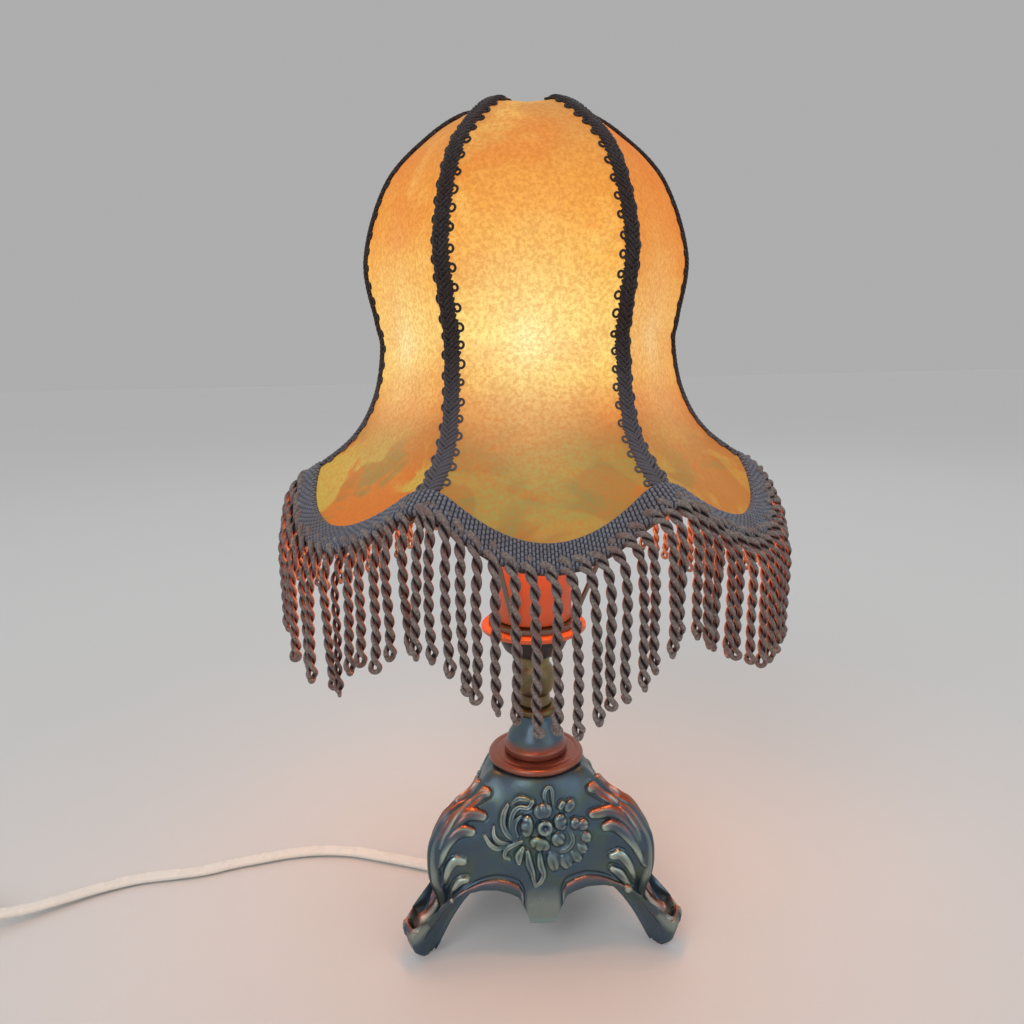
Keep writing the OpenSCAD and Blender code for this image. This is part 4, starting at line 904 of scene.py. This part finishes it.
MID_PROFILE = [
    (SHADE_TOP_R - 0.6, CREST_Z - 2.8), (SHADE_TOP_R + 3.8, CREST_Z - 1.2),
    (31, CREST_Z - 8), ((SHOULDER_R - 8.8) * 0.89, CREST_Z - 22.5),
    (SHOULDER_R * FLAT + 1, CREST_Z - SHOULDER_DROP + 1), (MID_R * FLAT + 1, CREST_Z - MID_DROP),
    (WAIST_R * FLAT + 1.2, CREST_Z - WAIST_DROP),
    ((WAIST_R + 3.6) * FLAT + 2, CREST_Z - WAIST_DROP - 18),
    (HEM_MID_R - 25, CREST_Z - HEM_DROP + 11.5), (HEM_MID_R, CREST_Z - HEM_DROP - SCALLOP)]
HEM_V = len(RIB_PROFILE) - 1
CLOTH_T = 0.6
HOT_Z = 236.0
HOT_ASIDE = 3.0
# Per panel: share of deeper orange in the upper painted glow, and of mottling in its lower part
PANEL_DEEP = (0.0, 0.9, 0.4, 0.6, 0.4, 0.3)
PANEL_MOTTLE = (0.25, 0.4, 0.7, 0.5, 0.6, 0.9)
GIMP_W = 8.0
BAND_W = 8.5
PANELS = 6


HEM_ROUND = 0.18
RIB_PINCH = 4.5
PINCH_TOP = CREST_Z - WAIST_DROP
PINCH_LOW = CREST_Z - HEM_DROP


def hem_share(u):
    """How far the hem has climbed from mid-panel to the rib, level over the rib."""
    near_rib = np.maximum(0, (np.abs(u) - 1 + HEM_ROUND) / HEM_ROUND)
    return (u * u - HEM_ROUND * near_rib * near_rib) / (1 - HEM_ROUND)


def cloth(u, v):
    """Middle surface of the panel round +X: u across from -1 to 1, v down."""
    u, v = np.broadcast_arrays(np.asarray(u, dtype=float), np.asarray(v, dtype=float))
    r, m = spline(RIB_PROFILE, v), spline(MID_PROFILE, v)
    return np.stack([m[..., 0] + (r[..., 0] * FLAT - m[..., 0]) * u * u, u * r[..., 0] * 0.5,
                     m[..., 1] + (r[..., 1] - m[..., 1]) * hem_share(u)], -1)


def on_shade(points, angle):
    """Points turned to a panel or rib; low down, front and back ribs close together."""
    q = turned(points, angle)
    share = np.clip((PINCH_TOP - q[..., 2]) / (PINCH_TOP - PINCH_LOW), 0, 1)
    share = share * share * (3 - 2 * share)
    azimuth = np.arctan2(q[..., 1], q[..., 0])
    swing = radians(RIB_PINCH) * share * np.sin(2 * azimuth) / sin(radians(60))
    c, s = np.cos(swing), np.sin(swing)
    return np.stack([q[..., 0] * c - q[..., 1] * s, q[..., 0] * s + q[..., 1] * c, q[..., 2]], -1)


def cloth_normal(u, v):
    e = 0.02
    v = np.asarray(v, dtype=float)
    down = cloth(u, np.minimum(HEM_V, v + e)) - cloth(u, np.maximum(0, v - e))
    across = cloth(np.asarray(u) + e, v) - cloth(np.asarray(u) - e, v)
    return unit(np.cross(down, across))


def cloth_out(u, v, d):
    d = np.asarray(d, dtype=float)
    return cloth(u, v) + (d[..., None] if d.ndim else d) * cloth_normal(u, v)


def band_top(u):
    """v of the band's upper edge."""
    step = np.linalg.norm(cloth(u, HEM_V) - cloth(u, HEM_V - 0.25), axis=-1) / 0.25
    return HEM_V - BAND_W / step


def panel_angle(k):
    return -90 + 60 * k


def hot_spot(u, v):
    """Where the filament shines straight through the cloth: a small core in a wide glow."""
    p = cloth(u, v)
    away = np.hypot(p[..., 1] + HOT_ASIDE, (p[..., 2] - HOT_Z) * 0.8)
    return 0.5 * np.exp(-(away / 6) ** 2) + 0.5 * np.exp(-(away / 25) ** 2)


def build_panels():
    cols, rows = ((49, 120))
    u = np.linspace(-0.988, 0.988, cols)[None, :]
    v = np.linspace(0, HEM_V, rows)[:, None]
    panels = []
    for k in range(PANELS):
        phase = rng.uniform(0, 2 * pi, 6)
        slack = (0.16 * np.sin(7 * u + phase[0] + 0.9 * v) * np.sin(1.7 * v + phase[1])
                 + 0.12 * np.sin(17 * u + phase[2]) * np.cos(2.9 * v + phase[3])
                 + 0.08 * np.sin(31 * u * np.cos(phase[4]) + 5.1 * v + phase[5]))
        slack = slack * (1 - u ** 4) * np.clip(v / 2, 0, 1)
        front = cloth_out(u, v, slack + CLOTH_T / 2)
        back = cloth_out(u, v, slack - CLOTH_T / 2)
        ring = np.concatenate([front, back[:, ::-1]], axis=1)
        faces = grid_faces(rows, 2 * cols, wrap_cols=True, flip=True)
        for row, order in ((0, 1), (rows - 1, -1)):
            base = row * 2 * cols
            for j in range(cols - 1):
                quad = [base + j, base + j + 1, base + 2 * cols - 2 - j, base + 2 * cols - 1 - j]
                faces.append(quad[::order])
        verts = on_shade(ring.reshape(-1, 3), panel_angle(k))
        obj = make(f"cloth_panel_{k + 1}", verts, faces, LOOKS["amber_cloth"], "shade",
                   replaces=(f"shade_panel_{k + 1}",))
        hot = hot_spot(np.concatenate([u, u[:, ::-1]], axis=1), v)
        store(obj, "hot", hot.ravel())
        store(obj, "deep", np.full(hot.size, PANEL_DEEP[k]))
        store(obj, "mottle", np.full(hot.size, PANEL_MOTTLE[k]))
        panels.append(obj)
    return panels


cloth_panels = build_panels()


def rib_surface(x, v, lift):
    """Point over a rib: x mm across it, v down it, lifted off the cloth.

    The rib stands in the plane of the X axis; the cloth falls away on both sides.
    """
    x, v, lift = np.broadcast_arrays(*(np.asarray(q, dtype=float) for q in (x, v, lift)))
    soft = np.sqrt(x * x + 1.0)
    half = spline(RIB_PROFILE, v)[..., 0] * 0.5
    p = turned(cloth_out(1 - soft / half, v, lift), -30)
    side = -np.sign(np.where(x == 0, 1, x))
    p[..., 1] *= -side * np.where(np.abs(x) < soft, np.abs(x) / soft, 1)
    return p


def rib_lengths():
    """Length down the rib against v, for even spacing of the braid."""
    v = np.linspace(0, HEM_V, 400)
    p = spline(RIB_PROFILE, v)
    s = np.concatenate([[0], np.cumsum(np.linalg.norm(np.diff(p, axis=0), axis=1))])
    return v, s


def braid_half(v):
    """Half width of the braid, spreading where it nears the hem."""
    return 2.55 + 0.8 * ease(v, 7.2, 8.5)


def build_gimps():
    """Braid on every rib: steep plaited strands and picot loops on both edges."""
    v_table, s_table = rib_lengths()
    pitch, picot_pitch = 1.7, 5.9
    strand_drop = 4.0
    lift = CLOTH_T / 2 + 0.1
    s0 = np.interp(0.25, v_table, s_table)
    s1 = np.interp(float(band_top(1.0)) + 0.03, v_table, s_table)
    strand_steps = 7
    core_rows = 60
    f = np.linspace(0, 1, strand_steps)
    for k in range(PANELS):
        parts = Parts()
        core_v = np.interp(np.linspace(s0, s1, core_rows), s_table, v_table)
        across = np.linspace(-1, 1, 7)[None, :] * (braid_half(core_v)[:, None] - 0.3)
        top = rib_surface(across, core_v[:, None], lift + 0.35)
        low = rib_surface(across[:, ::-1], core_v[:, None], lift - 0.1)
        ring = np.concatenate([top, low], axis=1)
        sides = ring.shape[1]
        faces = grid_faces(core_rows, sides, wrap_cols=True)
        faces.append(list(range(sides))[::-1])
        faces.append([(core_rows - 1) * sides + j for j in range(sides)])
        parts.add(ring.reshape(-1, 3), faces)
        for i in range(int((s1 - s0) / pitch)):
            for side in (-1, 1):
                s = s0 + pitch * (i + (0.5 if side > 0 else 0)) + rng.normal(0, 0.12)
                edge = float(braid_half(np.interp(s, s_table, v_table))) + rng.normal(0, 0.15)
                x = side * (edge - (edge + 0.5) * f ** 1.25)
                down = np.minimum(s + strand_drop * f, s1 + 1.2)
                v = np.interp(down, s_table, v_table)
                high = lift + 0.2 + 0.75 * np.sin(pi * (0.1 + 0.76 * f))
                path = rib_surface(x, v, high)
                ref = unit(path - rib_surface(x, v, high - 1))
                width = 0.66 * np.sin(pi * (0.2 + 0.62 * f)) ** 0.5
                parts.add(*tube(path, width, 6, ref, flat=0.85))
        for i in range(int((s1 - s0) / picot_pitch)):
            for side in (-1, 1):
                s = s0 + picot_pitch * (i + (0.75 if side > 0 else 0.25)) + rng.normal(0, 0.25)
                angle = np.arange(14) * 2 * pi / 14
                size = 1.0 + rng.normal(0, 0.07)
                edge = float(braid_half(np.interp(s, s_table, v_table)))
                x = side * (edge + 0.45 + rng.normal(0, 0.12) + size * np.cos(angle))
                v = np.interp(s + size * 1.12 * np.sin(angle), s_table, v_table)
                path = rib_surface(x, v, lift + 0.42)
                ref = unit(path - rib_surface(x, v, lift - 0.5))
                parts.add(*tube(path, 0.42, 6, ref, closed=True))
        obj = make(f"braid_{k + 1}", on_shade(parts.points(), -60 + 60 * k), parts.faces,
                   LOOKS["taupe_braid"], "shade",
                   replaces=(f"rib_gimp_{k + 1}",))


build_gimps()


def build_band():
    """Woven band round the hem: upright ribs crossed by rows of stitches."""
    ribs = 64
    stitch_rows = 5.5
    per_rib = 4
    cols = ribs * per_rib
    rows = 34
    thick = 1.25
    below = 1.2
    outs, inners = [], []
    u = (np.arange(cols) / cols * 2 - 1)[None, :]
    s = np.linspace(0, 1, rows)[:, None]
    edge_way = unit(cloth(u, HEM_V) - cloth(u, HEM_V - 0.1))
    top = band_top(u[0])[None, :]
    v = HEM_V + (top - HEM_V) * np.maximum(0, (s - 0.1) / 0.9)
    under = below * np.maximum(0, 1 - s / 0.1)[..., None] * edge_way
    rib_number = np.floor((u + 1) / 2 * ribs + 1e-6)
    rib = np.abs(np.sin(pi * (u + 1) / 2 * ribs)) ** 0.7
    row = np.abs(np.sin(pi * (s * stitch_rows + 0.5 * (rib_number % 2)))) ** 0.8
    round_edge = np.sqrt(np.clip(1 - (2 * s - 1) ** 8, 0, 1))
    lift = CLOTH_T / 2 + 0.15 + thick * round_edge + (0.2 + 0.4 * row) * rib * round_edge
    out = cloth_out(u, v, lift) + under
    wrap = np.broadcast_to(np.clip(1 - s / 0.09, 0, 1), v.shape)
    behind = CLOTH_T / 2 + 0.05 - (CLOTH_T + 0.6) * wrap
    inner = cloth_out(np.broadcast_to(u, v.shape), v, behind) + under
    for k in range(PANELS):
        outs.append(on_shade(out, panel_angle(k)))
        inners.append(on_shade(inner, panel_angle(k)))
    points = np.concatenate([np.concatenate(outs, axis=1), np.concatenate(inners, axis=1)[::-1]])
    faces = grid_faces(2 * rows, cols * PANELS, wrap_cols=True, wrap_rows=True)
    obj = make("woven_band", points.reshape(-1, 3), faces, LOOKS["grey_taupe_band"], "shade",
               replaces=("hem_band",))
    # Low between the band's ribs and stitch rows, where the yarn's painted shade falls.
    raised = np.tile(rib * (0.35 + 0.65 * row), (1, PANELS))
    store(obj, "raised", np.concatenate([raised, np.zeros_like(raised)]).ravel())
    return obj


woven_band = build_band()

# Bullion fringe: two plies twisted into each hanging loop
FRINGE_N = 17
FRINGE_CROWD = 0.07
FRINGE_BEND = 17.6
FRINGE_TURN = radians(50)
PLY_R = 0.84
PLY_OFFSET = 0.76
TWIST = (8.8, 9.8)
HEAD_BACK = 2.6
HEAD_RUN = 10.0
HEAD_SLANT = 3.4
STRAY = (5, 11)


def fringe_length(u, azimuth):
    """Hanging length: longest in the middle of the front panel, shorter at the sides."""
    front = max(0, 2 * cos(radians(azimuth + 90)) - 1)
    return 38.5 + (1 + 5.5 * front) * (1 - abs(u) ** 1.5)


def core_path(start, shift, length, bend, sway):
    """Centreline of one cord in its own plane: radius, sideways, height.

    It starts on the band, leans over to its hanging place and bends down.
    """
    arc = FRINGE_BEND * FRINGE_TURN
    reach = arc + length - FRINGE_BEND * sin(FRINGE_TURN)
    s = np.linspace(-HEAD_BACK, reach, 72)
    phi = FRINGE_TURN - np.clip(s, 0, arc) / FRINGE_BEND
    back = np.minimum(s, 0)
    out = FRINGE_BEND * (np.cos(phi) - cos(FRINGE_TURN)) * bend + back * sin(FRINGE_TURN)
    drop = FRINGE_BEND * (sin(FRINGE_TURN) - np.sin(phi)) + back * cos(FRINGE_TURN)
    drop = drop + np.maximum(0, s - arc)
    hang = np.clip(s / reach, 0, 1)
    lean = (1 - np.clip((s + HEAD_BACK) / HEAD_RUN, 0, 1)) ** 1.4
    aside = sway[1] * hang ** 1.4 + 0.35 * np.sin(s * 0.22 + sway[2]) * hang
    return np.stack([start[0] + out + shift[0] * lean + sway[0] * hang ** 1.4,
                     aside + shift[1] * lean, start[1] - drop + shift[2] * lean], 1), s


def hem_point(k, u):
    return on_shade(cloth(u, HEM_V), panel_angle(k))


def inner_light(verts, middle, outward, hem_z):
    """How much of the bulb's light reaches a cord: its inner side, most just under the hem."""
    facing = np.clip(0.05 - unit(verts - middle) @ outward, 0, 1)
    below = hem_z - verts[:, 2]
    return facing * ease(below, 1, 5) * ease(below, 46, 8)


def build_fringe():
    parts = Parts()
    raised, lit = [], []
    for k in range(PANELS):
        for j in range(FRINGE_N):
            u = (2 * j + 1) / FRINGE_N - 1
            u = u + FRINGE_CROWD * sin(pi * u) + rng.normal(0, 0.010)
            p = hem_point(k, u)
            head = hem_point(k, max(u - HEAD_SLANT / 43, -0.985))
            outward = unit([p[0], p[1], 0])
            sideways = np.array([-outward[1], outward[0], 0])
            shift = ((head - p) @ outward, (head - p) @ sideways, head[2] - p[2])
            azimuth = degrees(atan2(p[1], p[0]))
            length = fringe_length(u, azimuth) + rng.normal(0, 1.3)
            stray = (k, j) == STRAY
            if stray:
                length += 7
            sway = (rng.normal(0, 1.0), rng.normal(0, 0.7), rng.uniform(0, 6))
            bend = 1 + rng.normal(0, 0.05)
            start = (np.hypot(p[0], p[1]) + 0.7, p[2] + 0.7)
            core, s = core_path(start, shift, length, bend, sway)
            along = unit(np.gradient(core, axis=0))
            side = unit(np.cross(along, [1, 0, 0.3]))
            up = np.cross(side, along)
            twist = 2 * pi * s / rng.uniform(*TWIST) + rng.uniform(0, 2 * pi)
            left = s[-1] - s
            head_wide = np.exp(-((s + HEAD_BACK) / 4.2) ** 2)
            offset = PLY_OFFSET * (1 + 0.75 * np.exp(-(left / 2.6) ** 2) + 0.7 * head_wide)
            thick = PLY_R * (1 + 0.35 * head_wide) * (0.75 if stray else 1)
            ref = turned([[1, 0, 0.3]], azimuth)[0]
            for ply in (0, pi):
                c, q = np.cos(twist + ply), np.sin(twist + ply)
                path = core + offset[:, None] * (c[:, None] * side + q[:, None] * up)
                verts, faces = tube(turned(path, azimuth), thick, 8, ref)
                parts.add(verts, faces)
                axis = np.repeat(turned(core, azimuth), 8, axis=0)
                # Low in the crevices between the plies, where the yarn's painted shade falls; the
                # inner sides get the painted glow of the bulb's light.
                raised.append(np.linalg.norm(verts - axis, axis=1) / (PLY_R + PLY_OFFSET))
                lit.append(inner_light(verts, np.repeat(turned(path, azimuth), 8, axis=0),
                                       outward, p[2]))
            c, q = np.cos(twist[-1]), np.sin(twist[-1])
            reach = offset[-1] * (c * side[-1] + q * up[-1])
            bow = np.linspace(0, pi, 8)[:, None]
            loop = core[-1] + reach * np.cos(bow) + along[-1] * 1.35 * np.sin(bow)
            ref = unit(np.cross(reach, along[-1]))
            verts, faces = tube(turned(loop, azimuth), thick[-1] * 0.98, 8,
                                turned([ref], azimuth)[0])
            parts.add(verts, faces)
            raised.append(np.full(len(verts), 0.95))
            lit.append(inner_light(verts, np.repeat(turned(loop, azimuth), 8, axis=0), outward,
                                   p[2]))
    obj = make("bullion_cords", parts.points(), parts.faces, LOOKS["taupe_bullion"], "shade",
               replaces=("bullion_fringe",))
    store(obj, "raised", np.concatenate(raised))
    store(obj, "lit", np.concatenate(lit))
    return obj


bullion = build_fringe()


# Lampholder: flange, domed ring with a soft edge and the dark cap
def build_holder():
    dome = [(13.1, LOCK_Z), (14.9, LOCK_Z), (15.3, LOCK_Z + 0.4), (15.3, LOCK_Z + 12)]
    dome += [(12 + 3.3 * cos(radians(t)), LOCK_Z + 12 + 16.7 * sin(radians(t)))
             for t in range(10, 91, 8)]
    dome += [(9, LOCK_TOP_Z), (9, LOCK_TOP_Z - 2.6), (13.1, LOCK_TOP_Z - 2.7)]
    lathe("locking_dome", rounded(dome, 0.3, 2), LOOKS["amber_plastic"], "locking_ring",
          ("shade_ring",))
    cap = [(4.9, CAP_Z), (9.5, CAP_Z), (12, CAP_Z + 2), (14, CAP_Z + 6.5), (14, FLANGE_Z),
           (11.8, FLANGE_Z), (11.8, CAP_Z + 5), (4.9, CAP_Z + 5)]
    lathe("holder_cup", rounded(cap, 0.8), LOOKS["black_plastic"], "lamp",
          ("holder_cap",))


build_holder()


# Stage: pale floor, soft studio light and the bulb's own orange light
WORLD_LIGHT = 0.62
BACKDROP = 0.42


def area_light(name, place, target, size, power, color=(1, 1, 1)):
    data = bpy.data.lights.new(name, "AREA")
    data.size = size
    data.energy = power
    data.color = color
    light = bpy.data.objects.new(name, data)
    scene.collection.objects.link(light)
    light.location = place
    aim = Vector(target) - Vector(place)
    light.rotation_euler = aim.to_track_quat("-Z", "Y").to_euler()


def build_stage():
    floor_mesh = bpy.data.meshes.new("floor")
    reach = 9.0
    floor_mesh.from_pydata([(-reach, -reach, 0), (reach, -reach, 0), (reach, reach, 0),
                            (-reach, reach, 0)], [], [(0, 1, 2, 3)])
    floor_mesh.materials.append(floor_look())
    floor = bpy.data.objects.new("floor", floor_mesh)
    scene.collection.objects.link(floor)
    area_light("key", (-0.7, -1.1, 1.2), (0, 0, 0.15), 0.8, 5.5)
    area_light("fill", (1.1, -0.8, 0.7), (0, 0, 0.15), 0.9, 1.6)
    area_light("back", (0.2, 1.0, 1.3), (0, 0, 0.15), 1.0, 2.0)
    add_bulb_light()
    scene.world = studio_world()
    scene.view_settings.view_transform = "Standard"


def add_bulb_light():
    """The lit bulb's orange light inside the shade, from three places round the glass."""
    for turn in (30, 150, 270):
        data = bpy.data.lights.new("bulb_light", "POINT")
        data.energy = 0.2
        data.color = (1.0, 0.40, 0.16)
        data.shadow_soft_size = 0.015
        light = bpy.data.objects.new("bulb_light", data)
        scene.collection.objects.link(light)
        light.location = (0.032 * cos(radians(turn)), 0.032 * sin(radians(turn)), 0.2)


def studio_world():
    """Even white light, seen by the camera as a pale backdrop of the floor's tone."""
    world = bpy.data.worlds.new("world")
    world.use_nodes = True
    tree = world.node_tree
    background = tree.nodes["Background"]
    seen = tree.nodes.new("ShaderNodeLightPath").outputs["Is Camera Ray"]
    strength = tree.nodes.new("ShaderNodeMapRange")
    strength.inputs["To Min"].default_value = WORLD_LIGHT
    strength.inputs["To Max"].default_value = BACKDROP
    tree.links.new(seen, strength.inputs["Value"])
    tree.links.new(strength.outputs[0], background.inputs["Strength"])
    background.inputs["Color"].default_value = (1, 1, 1, 1)
    return world


build_stage()
